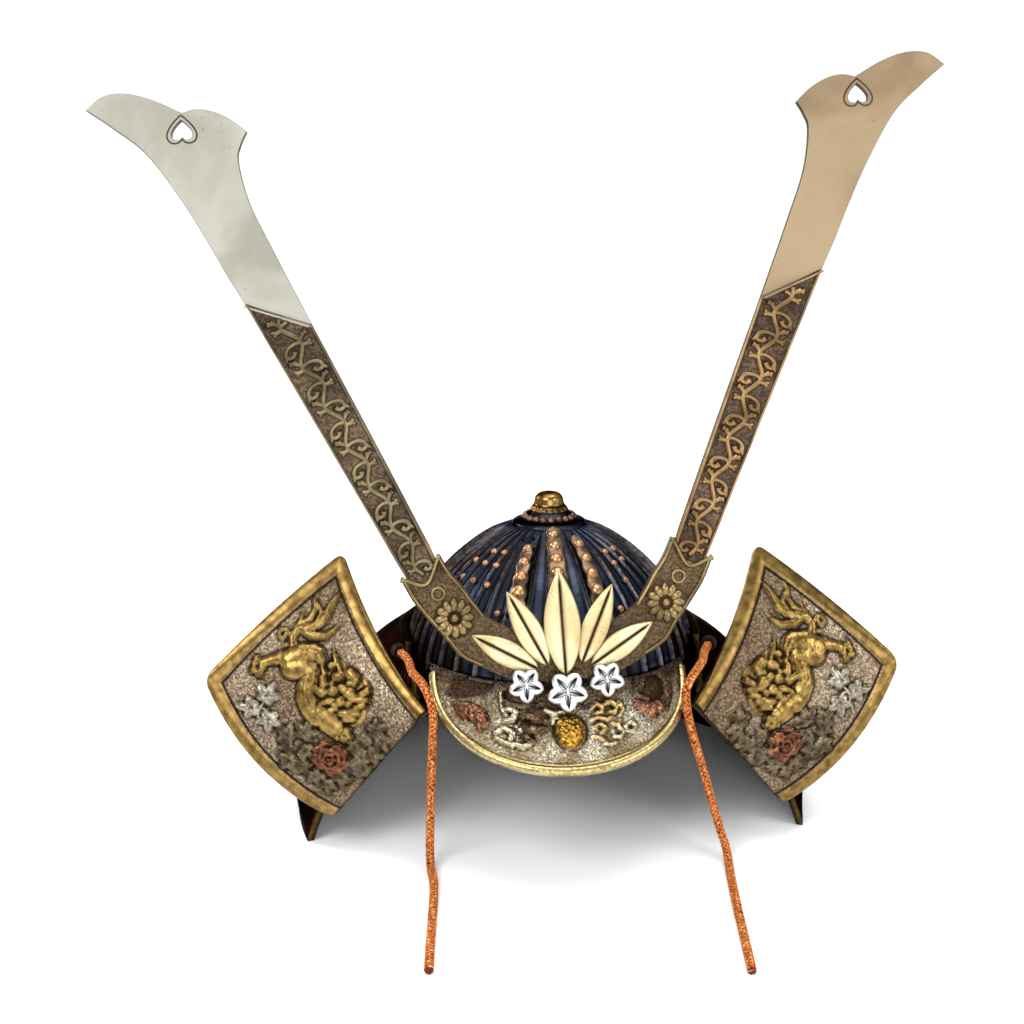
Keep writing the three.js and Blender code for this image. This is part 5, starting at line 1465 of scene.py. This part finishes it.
# Visor: a dished crescent with raised clouds, lumps and a round boss, and a rolled edge
visorSize = {
    "sweep": 1.02,
    "seat": 1.1,
    "top": 63.5,
    "tipHeight": 60.5,
    "drop": 21.5,
    "reach": 78.0,
    "half": 42.5,
    "lip": 1.7,
    "setBack": 6.5,
    "dish": 2.2,
    "wall": 1.9,
    "columns": 297,
    "rows": 104,
    "rollRows": 10,
}
visorDown = (0.0, -0.745, -0.667)
visorCrop = (380, 470, 4.126)
visorStrokes = [  # tone, height, (x, y, radius) drawn over the crop
    ("copper", 1.5, [(318, 970, 19), (365, 990, 36), (410, 1015, 39), (430, 1045, 22)]),
    ("copper", 1, [(405, 1040, 16), (415, 1085, 8)]),
    ("copper", 0.9, [(320, 985, 10), (350, 1030, 12)]),
    ("silver", 1, [(500, 925, 8), (505, 985, 10), (520, 1010, 12)]),
    ("silver", 1.1, [(530, 985, 12), (560, 1000, 14), (545, 1030, 14), (515, 1035, 10)]),
    ("silver", 1.1, [(478, 1085, 12), (510, 1065, 14), (545, 1085, 14), (540, 1115, 12)]),
    ("silver", 1.2, [(480, 1110, 12), (510, 1125, 13), (545, 1140, 12)]),
    ("silver", 1.2, [(555, 1135, 14), (590, 1145, 14), (615, 1135, 10)]),
    ("silver", 1, [(560, 1060, 10), (580, 1080, 10)]),
    ("silver", 1.3, [(685, 993, 12), (712, 1008, 16)]),
    ("silver", 1.3, [(750, 1000, 12), (712, 1008, 16)]),
    ("silver", 1.2, [(712, 1008, 16), (715, 1045, 10)]),
    ("silver", 1, [(740, 1030, 9), (715, 1020, 12)]),
    ("brown", 1.5, [(595, 1010, 24), (640, 1020, 32), (670, 1005, 16)]),
    ("brown", 1.6, [(600, 1065, 26), (640, 1075, 30), (680, 1065, 12)]),
    ("brown", 1.4, [(605, 1105, 20), (625, 1120, 16)]),
    ("brown", 1.2, [(570, 1080, 10), (585, 1045, 14)]),
    ("gold", 1, [(870, 985, 10), (890, 965, 10), (915, 975, 10), (912, 1000, 9), (892, 1003, 8)]),
    ("gold", 1, [(930, 965, 10), (955, 955, 10), (975, 975, 10), (968, 1000, 9), (948, 998, 8)]),
    ("gold", 1, [(985, 960, 9), (1000, 985, 9), (990, 1010, 8)]),
    ("gold", 0.9, [(870, 1030, 9), (900, 1022, 9), (935, 1030, 10), (955, 1020, 8)]),
    ("gold", 1, [(885, 1060, 9), (910, 1048, 10), (930, 1065, 10), (915, 1085, 9)]),
    ("gold", 0.9, [(960, 1045, 9), (985, 1055, 9), (990, 1030, 8)]),
    ("gold", 0.8, [(880, 1100, 8), (910, 1105, 8), (935, 1125, 7)]),
    ("silver", 0.9, [(1035, 1038, 8), (1056, 1055, 8), (1045, 1078, 8), (1022, 1078, 8), (1012, 1057, 8),
            (1035, 1038, 8)]),
    ("silver", 0.9, [(985, 1060, 8), (1005, 1080, 8), (990, 1104, 8), (965, 1100, 8), (960, 1075, 8)]),
    ("silver", 0.8, [(925, 1130, 8), (955, 1135, 7), (975, 1125, 6)]),
    ("copper", 1.4, [(1065, 965, 20), (1110, 990, 34), (1150, 975, 30)]),
    ("copper", 1.1, [(1110, 1010, 20), (1130, 1020, 14)]),
    ("brown", 0.6, [(1072, 891, 19), (1085, 835, 19), (1133, 816, 18), (1182, 859, 17), (1192, 924, 18),
            (1172, 972, 24)]),
    ("brown", 1, [(1060, 930, 12), (1100, 945, 14)]),
    ("brown", 0.8, [(1060, 850, 10), (1055, 890, 9), (1060, 925, 8)]),
]
visorBoss = {"place": (785, 1075), "radius": 5.2, "point": 1.8, "height": 2.9}
visorHollows = [  # place on the crop, half width and half height in millimetres, lean
    (370, 893, 8.6, 3.9, 0.12), (1130, 890, 6.0, 6.6, -0.5), (560, 930, 4.6, 2.6, 0.4),
]
visorLook = {
    "light": tint(210, 200, 174), "dark": tint(140, 119, 86), "grimeAndShade": tint(38, 29, 23), "rough": (0.18, 0.38),
    "metallic": 1.0, "clouds": 75.0, "stipple": 1300.0, "groundMask": True, "pitTone": 0.6, "bump": 1.0,
    "tones": {
        "silver": (tint(200, 190, 160), tint(146, 132, 102)),
        "copper": (tint(150, 104, 78), tint(84, 56, 42)),
        "brown": (tint(104, 84, 62), tint(62, 50, 40)),
        "gold": (tint(200, 170, 114), tint(156, 128, 84)),
        "boss": (tint(190, 146, 62), tint(82, 57, 28)),
        "edge": (tint(186, 170, 120), tint(142, 122, 78)),
        "shade": (tint(86, 66, 48), tint(54, 42, 32)),
    },
}


def visorPoint(sweep, out):
    size = visorSize
    turn, bend = size["sweep"] * sweep, sweep * np.pi / 2
    endY = -(bowlSize["Half length"] + size["seat"]) * math.cos(size["sweep"]) - size["setBack"]
    low = np.clip(np.cos(bend), 0, 1) ** 0.8
    root = np.stack([(bowlSize["Half width"] + size["seat"]) * np.sin(turn),
                     -(bowlSize["Half length"] + size["seat"]) * np.cos(turn), size["top"] + 0 * turn], axis=-1)
    lip = np.stack([size["half"] * np.sin(bend), endY - (size["reach"] - size["lip"] + endY) * np.cos(bend),
                    size["tipHeight"] + (size["top"] - size["drop"] - size["tipHeight"]) * low], axis=-1)
    dish = size["dish"] * np.sin(out * np.pi) * np.cos(bend)
    point = root * (1 - out[..., None]) + lip * out[..., None]
    point[..., 1] += 0.6 * dish
    point[..., 2] -= dish
    return point, lip


def traceVisor(paths):
    grid, _ = visorPoint(*np.meshgrid(np.linspace(-1, 1, 900), np.linspace(0, 1, 300)))
    return readTracing(paths, visorCrop, grid, grid[..., 0], grid @ np.array(visorDown))


# Uneven lumps for rough castings, from sines only
def lumps(x, y, scale):
    x, y = x * scale, y * scale
    return (np.sin(x + 1.3 * np.sin(y * 0.9)) * np.sin(y * 1.1 + np.sin(x * 0.7))
            + 0.5 * np.sin(x * 2.3 + 1.0) * np.sin(y * 2.1 + 2.0))


def makeVisor():
    size = visorSize
    flatEnd = 0.93
    sweep, out = np.meshgrid(np.linspace(-1, 1, size["columns"]), np.linspace(0, flatEnd, size["rows"]))
    grid, lip = visorPoint(sweep, out)
    normal = outwardNormals(grid, np.array([0, -0.4, 1.0]))
    across, along = grid[..., 0], grid @ np.array(visorDown)
    labels = list(visorLook["tones"])
    height, tones = raiseStrokes(across, along, list(zip(
        [tone for tone, _, _ in visorStrokes], [peak for _, peak, _ in visorStrokes],
        traceVisor([path for _, _, path in visorStrokes]))), labels)
    height += np.where(height > 0, 0.16 * lumps(across, along, 2.6), 0)
    boss = visorBoss
    (bossX, bossY, _), = traceVisor([[(*boss["place"], 0)]])[0]
    x, y = across - bossX, along - bossY
    drop = boss["radius"] / (boss["radius"] + boss["point"])
    off = np.hypot(x, np.where(y > 0, y * drop, y)) / boss["radius"]
    dome = boss["height"] * np.clip(1 - off**2, 0, 1) ** 0.5
    dome = np.where(off < 1, dome + 0.5 * lumps(x, y, 2.4) * (1 - off**2).clip(0, 1) ** 0.3, 0)
    wins = dome > height
    height = np.where(wins, dome, height)
    for label in labels:
        tones[label] = np.where(wins, float(label == "boss"), tones[label])
    for x, y, wide, tall, lean in visorHollows:
        (middleX, middleY, _), = traceVisor([[(x, y, 0)]])[0]
        dx, dy = across - middleX, along - middleY
        u = (dx * math.cos(lean) + dy * math.sin(lean)) / wide
        v = (dy * math.cos(lean) - dx * math.sin(lean)) / tall
        dent = np.clip(1.12 - np.hypot(u, v), 0, 1)
        shade = np.clip(dent / 0.2, 0, 1) * (height < 0.1)
        height = height - 0.5 * np.clip(dent / 0.3, 0, 1) * (height < 0.1)
        tones["shade"] = np.maximum(tones["shade"], shade)
    gloom = np.clip((0.46 - out) / 0.24, 0, 1) * (0.85 + 0.15 * lumps(across, along, 0.5))
    tones["shade"] = np.clip(np.maximum(tones["shade"], gloom * (height < 0.1)), 0, 1)
    margin = (np.clip(np.minimum(out, flatEnd - out) / 0.03, 0, 1)
              * np.clip((1 - np.abs(sweep)) / 0.02, 0, 1))
    height = blurred(height * 1.35, 1) * margin
    tones["edge"] = np.clip((out - 0.9) / 0.012, 0, 1)
    # Painted shade: darker in the low places, along the top next to the bowl, and in a line just before the
    # rolled edge
    cavity = np.clip(lowPlaces(height, 15, 0.4) + np.clip(1 - out / 0.22, 0, 1) * 0.7
                     + np.exp(-(((out - 0.895) / 0.012) ** 2)) * 0.7, 0, 1)
    face = grid + normal * height[..., None]
    back = grid - (0, 0, size["wall"])
    line, bend = lip[0], sweep[0] * np.pi / 2
    outward = unit(np.stack([np.sin(bend), -np.cos(bend), np.full_like(bend, -0.35)], axis=-1))
    sideways = np.stack([np.cos(bend), np.sin(bend), 0 * bend], axis=-1)
    upward = unit(np.cross(sideways, outward))
    upward *= np.sign(upward[:, 2:])
    roll = np.linspace(0.75 * np.pi, 0, size["rollRows"])[:, None, None]
    rolls = [line + size["lip"] * (np.cos(roll) * outward + sign * np.sin(roll) * upward) for sign in (1, -1)]
    face, back = np.concatenate([face, rolls[0]]), np.concatenate([back, rolls[1]])
    extra = np.zeros((size["rollRows"], size["columns"]))
    masks = {label: np.concatenate([tone, extra + float(label == "edge")]) for label, tone in tones.items()}
    masks["cavity"] = np.concatenate([cavity, extra])
    plain = np.clip(1 - blurred(sum(tones[label] for label in labels if label != "shade"), 1), 0, 1)
    masks["ground"] = np.concatenate([plain, extra])
    mesh = wallMesh("visor", face, back, masks)
    finishMesh("visorPeak", mesh, [makeMetal("visorBrass", visorLook)], "visor", 180)


makeVisor()
print("stage: visor")


# Turned-back plates: a rim round a stippled ground, with a lion, a peony and leaves in relief
plateSize = {
    "inner": (45.4, -47.8, 52.3),
    "across": 75.6,
    "rise": 45.3,
    "fall": 39.5,
    "wall": 2.4,
    "rim": 0.085,
    "rimRaise": 0.8,
    "corner": 0.06,
    "reliefShare": 1.15,
    "count": 178,
}
plateCrop = (235, 580, 6)
lionSwell, tailSwell = 1.34, 1.12
lionStrokes = [  # height, (x, y, radius) drawn over the crop
    (0.9, [(620, 620, 60), (600, 700, 100), (700, 680, 90), (680, 780, 80)]),
    (0.8, [(480, 560, 50), (500, 650, 70)]),
    (0.8, [(600, 520, 40), (650, 600, 70)]),
    (1.2, [(300, 340, 8), (312, 312, 8)]),
    (1.2, [(350, 395, 20), (345, 345, 18), (375, 300, 20)]),
    (1, [(380, 395, 16), (330, 385, 10), (290, 390, 6)]),
    (2.3, [(455, 445, 50), (395, 455, 60), (330, 480, 50)]),
    (2.2, [(420, 525, 58), (350, 525, 56)]),
    (2, [(500, 440, 32), (520, 480, 26), (530, 520, 10)]),
    (1.6, [(275, 468, 34), (215, 482, 22), (165, 500, 22)]),
    (1.5, [(130, 470, 15)]),
    (1.6, [(118, 500, 15)]),
    (1.7, [(112, 537, 19)]),
    (1.6, [(150, 560, 21)]),
    (1.5, [(165, 525, 18)]),
    (2, [(445, 575, 34), (425, 640, 42), (425, 710, 44), (450, 780, 42), (490, 830, 40)]),
    (2.3, [(440, 600, 10), (425, 660, 12), (432, 730, 10)]),
    (2.3, [(455, 620, 8), (450, 690, 10), (465, 750, 8)]),
    (2.4, [(510, 800, 44), (560, 840, 54), (600, 870, 42)]),
    (2, [(600, 880, 38), (640, 915, 32)]),
    (2.2, [(672, 905, 23)]),
    (2, [(690, 938, 17)]),
    (2.1, [(655, 950, 22)]),
    (2, [(620, 945, 17)]),
    (1.7, [(540, 880, 26), (590, 925, 18)]),
    (1.9, [(580, 515, 19)]),
    (2.2, [(612, 582, 27), (632, 578, 27)]),
    (2.1, [(530, 588, 20), (535, 625, 22)]),
    (1.8, [(582, 622, 16)]),
    (2.5, [(692, 555, 22), (728, 598, 25)]),
    (2, [(668, 552, 14), (690, 590, 14)]),
    (2.2, [(690, 622, 20), (722, 628, 16)]),
    (2, [(485, 655, 20), (525, 675, 28)]),
    (2, [(590, 668, 28)]),
    (2.2, [(640, 645, 20), (668, 668, 24)]),
    (2.6, [(690, 682, 34), (715, 712, 26)]),
    (2.3, [(795, 668, 22), (765, 690, 22)]),
    (2.2, [(745, 722, 20), (795, 722, 16)]),
    (2, [(515, 742, 14), (560, 728, 22), (585, 722, 16)]),
    (2.4, [(635, 730, 30)]),
    (2, [(598, 752, 18)]),
    (2.2, [(680, 745, 22)]),
    (2.1, [(575, 785, 22), (610, 770, 16)]),
    (2.4, [(640, 800, 22), (700, 800, 30), (735, 800, 18)]),
    (2, [(665, 832, 22), (715, 838, 16)]),
    (1.9, [(770, 755, 16), (730, 765, 18)]),
    (1.5, [(610, 505, 11), (598, 450, 8), (590, 402, 3)]),
    (1.5, [(630, 540, 12), (618, 490, 9), (612, 450, 4)]),
    (1.5, [(668, 560, 12), (660, 525, 8), (655, 505, 4)]),
    (1.6, [(480, 560, 14), (465, 520, 8), (460, 500, 4)]),
    (1.6, [(540, 560, 12), (520, 520, 8)]),
]
tailStrokes = [
    (1.5, [(385, 292, 22), (470, 282, 30), (540, 235, 26), (580, 150, 20), (612, 100, 12), (652, 60, 4)]),
    (1.2, [(395, 262, 14), (455, 235, 20), (490, 175, 18), (480, 125, 12), (497, 75, 4)]),
    (1.6, [(420, 300, 16), (495, 262, 16), (520, 200, 14), (500, 150, 6)]),
    (1.4, [(410, 312, 16), (470, 335, 26), (540, 337, 20), (590, 305, 13), (632, 262, 4)]),
    (1.1, [(362, 300, 13), (392, 250, 11), (405, 210, 8), (408, 172, 3)]),
    (1.1, [(335, 335, 9), (305, 300, 11), (275, 298, 11), (266, 330, 11), (285, 358, 9)]),
]
leafSprigs = [  # middle, tip and size, drawn over the crop
    (190, 695, 225, 640, 62), (100, 765, 55, 760, 55), (205, 830, 200, 885, 60), (320, 930, 270, 890, 60),
    (420, 920, 440, 870, 60), (320, 990, 270, 1000, 45), (330, 1080, 290, 1110, 60), (420, 1020, 460, 1050, 45),
    (850, 905, 850, 860, 58), (880, 960, 900, 1010, 50), (760, 1060, 700, 1090, 62), (830, 1040, 890, 1060, 50),
    (720, 1000, 690, 970, 40), (400, 1110, 430, 1150, 50), (770, 1130, 740, 1180, 50), (480, 1170, 500, 1210, 50),
    (640, 1180, 640, 1230, 50), (690, 1120, 720, 1150, 45), (560, 1220, 560, 1260, 45),
]
leafScale, paleLeaves = 1.5, 3
stemLines = [
    [(150, 760, 7), (135, 830, 7), (115, 900, 7)],
    [(190, 720, 6), (150, 760, 7), (200, 790, 6)],
    [(400, 985, 6), (382, 1045, 6), (428, 1110, 6)],
    [(725, 1090, 6), (795, 1025, 6), (885, 965, 6)],
]
peony = {  # rings: how many petals, reach, petal radius and height in millimetres
    "place": (570, 1070),
    "rings": [(9, 5.0, 1.9, 1.5), (8, 3.4, 1.6, 1.9), (5, 1.7, 1.3, 2.3)],
    "heart": (0.9, 2.5),
    "seed": 3,
}
plateLook = {
    "light": tint(158, 140, 117), "dark": tint(120, 101, 78), "grimeAndShade": tint(36, 28, 23), "rough": (0.22, 0.42),
    "metallic": 1.0, "clouds": 24.0, "stipple": 1200.0, "groundMask": True, "pitTone": 0.65, "bump": 1.0,
    "tones": {
        "rimTone": (tint(140, 114, 66), tint(94, 74, 44)),
        "gold": (tint(152, 126, 74), tint(100, 78, 44)),
        "silver": (tint(158, 151, 134), tint(112, 103, 88)),
        "bronze": (tint(108, 96, 76), tint(60, 50, 39)),
        "copper": (tint(128, 84, 62), tint(78, 51, 40)),
    },
}


def plateFrame():
    size = plateSize
    inner = np.array(size["inner"])
    span = size["across"]
    top = inner + (0.372 * span, 0.524 * span, size["rise"])
    bottom = inner + (0.431 * span, 0.06 * span, -size["fall"])
    outer = inner + (span, 0.222 * span, 0.17 * size["rise"])
    return inner, top, bottom, outer


def platePoint(rise, over):
    inner, top, bottom, outer = plateFrame()
    sideways, upward = unit(bottom - inner), unit(top - inner)
    outward = unit(np.cross(sideways, upward))
    r, o = rise[..., None], over[..., None]
    arc = 4 * r * (1 - r)
    near = inner * (1 - r) + top * r + sideways * arc * 3
    far = bottom * (1 - r) + outer * r + sideways * arc * 7
    bow = 4 * o * (1 - o)
    return near * (1 - o) + far * o + upward * bow * r * 1.5 + outward * arc * bow * 4


def plateAxes():
    inner, top, bottom, _ = plateFrame()
    sideways, upward = unit(bottom - inner), unit(top - inner)
    return inner, sideways, unit(upward - (upward @ sideways) * sideways)


# The tracing was drawn over the viewer's left plate, which mirrors the one that is worked out here
def tracePlate(paths):
    inner, sideways, upward = plateAxes()
    grid = platePoint(*np.meshgrid(np.linspace(0, 1, 500), np.linspace(0, 1, 500)))
    return readTracing(paths, plateCrop, grid * (-1, 1, 1), (grid - inner) @ sideways, (grid - inner) @ upward)


def leafStrokes():
    strokes, veins = [], []
    traced = tracePlate([[(x, y, size), (tipX, tipY, size)] for x, y, tipX, tipY, size in leafSprigs])
    for index, ((x, y, size), (tipX, tipY, _)) in enumerate(traced):
        size *= leafScale
        facing = math.atan2(tipY - y, tipX - x)
        tone = "silver" if index < paleLeaves else "bronze"
        for turn, long in ((0, 1.0), (66, 0.85), (-66, 0.85), (128, 0.55), (-128, 0.55)):
            angle = facing + math.radians(turn)
            way = np.array([math.cos(angle), math.sin(angle)])
            path = [(*(way * size * long * t + (x, y)), size * wide)
                    for t, wide in ((0.0, 0.3), (0.35, 0.36), (0.62, 0.3), (0.85, 0.16), (1.0, 0.05))]
            strokes.append((tone, 1.35, path))
            veins.append(("vein", 0.5, [(x, y, 0.32), (*(way * size * long * 0.85 + (x, y)), 0.22)]))
    return strokes, veins


def peonyStrokes():
    strokes = []
    centre = np.array(tracePlate([[(*peony["place"], 0)]])[0][0][:2])
    chance = np.random.default_rng(peony["seed"])
    for count, reach, radius, height in peony["rings"]:
        for i in range(count):
            angle = 2 * math.pi * (i + chance.uniform(-0.22, 0.22)) / count + reach
            way = np.array([math.cos(angle), math.sin(angle)])
            side = np.array([-way[1], way[0]])
            middle = centre + way * reach * chance.uniform(0.86, 1.1)
            size = radius * chance.uniform(0.8, 1.15)
            path = [(*(middle - side * size * 0.75 - way * 0.35 * size), size * 0.5), (*middle, size * 0.8),
                    (*(middle + side * size * 0.75 - way * 0.35 * size), size * 0.5)]
            strokes.append(("copper", height * chance.uniform(0.85, 1.1), path))
    radius, height = peony["heart"]
    strokes.append(("copper", height, [(*centre, radius)]))
    return strokes


def makePlate(side, material):
    size = plateSize
    count = size["count"]
    over, rise = np.meshgrid(np.linspace(0, 1, count), np.linspace(0, 1, count))
    corner = size["corner"]

    def roundOff(place):
        into = np.clip((place - (1 - corner)) / corner, 0, 1)
        return corner * (1 - np.sqrt(1 - into**2))

    left, right = roundOff(rise), roundOff(rise) + roundOff(1 - rise)
    over = left + over * (1 - left - right)
    grid = platePoint(rise, over)
    inner, sideways, upward = plateAxes()
    normal = outwardNormals(grid, np.cross(sideways, upward))
    across, along = (grid - inner) @ sideways, (grid - inner) @ upward
    leaves, veins = leafStrokes()
    stems = [("silver", 0.7, path) for path in tracePlate(stemLines)]
    lion = []
    for rows, swell in ((lionStrokes, lionSwell), (tailStrokes, tailSwell)):
        for (peak, _), path in zip(rows, tracePlate([path for _, path in rows])):
            lion.append(("gold", peak, [(x, y, radius * swell) for x, y, radius in path]))
    labels = ["gold", "silver", "bronze", "copper"]
    height, tones = raiseStrokes(across, along, stems + leaves + lion + peonyStrokes(), labels)
    grooves, _ = raiseStrokes(across, along, veins, [])
    height = np.where(tones["silver"] + tones["bronze"] > 0, height - grooves, height)
    height += np.where(tones["gold"] > 0, 0.1 * lumps(across, along, 3.4), 0)
    height += np.where(tones["copper"] > 0, 0.16 * lumps(across, along, 2.9), 0)
    height = blurred(height * plateSize["reliefShare"], 1)
    edge = np.minimum(np.minimum(over, 1 - over), 1 - rise)
    rim = np.clip((size["rim"] - edge) / 0.01, 0, 1)
    soft = np.clip(edge / 0.02, 0, 1) ** 0.5
    roll = np.sin(np.pi * np.clip(edge / size["rim"], 0, 1)) ** 0.7
    height = height * (1 - rim) + rim * size["rimRaise"] * (0.35 + 0.2 * soft + 0.7 * roll)
    tones["rimTone"] = rim
    for label in labels:
        tones[label] = tones[label] * (1 - rim)
    line = np.exp(-(((edge - size["rim"] - 0.006) / 0.006) ** 2))
    fold = np.clip(1 - rise / 0.012, 0, 1)
    # Painted shade: darker in the low places of the relief, along a line inside the rim, and at the fold along
    # the foot
    cavity = np.clip(lowPlaces(height, 10, 0.3) * (1 - rim) + line * 0.9 + fold, 0, 1)
    face, back = grid + normal * height[..., None], grid - normal * size["wall"]
    masks = {**tones, "cavity": cavity, "ground": np.clip(1 - sum(tones.values()), 0, 1)}
    if side == "left":
        face, back = face * (-1, 1, 1), back * (-1, 1, 1)
    mesh = wallMesh("turnback" + side, face, back, masks)
    finishMesh("turnback" + side.capitalize(), mesh, [material], "turnback_" + side, 180)


plateMetal = makeMetal("plateBrass", plateLook)
for side in ("left", "right"):
    makePlate(side, plateMetal)
print("stage: turned-back plates")


# Hidden plain pieces: the crest's post and the two cord eyes
plainLook = {"light": tint(52, 42, 34), "dark": tint(36, 30, 26), "grimeAndShade": tint(18, 15, 14), "rough": (0.4, 0.6),
             "metallic": 0.8, "edgeTint": (0.2, 0.18, 0.16)}
plainMetal = makeMetal("plainDark", plainLook)
for name in ("crest_post", "cord_eye_left", "cord_eye_right"):
    for slot in bpy.data.objects[name].material_slots:
        slot.material = plainMetal

print("stage: done")
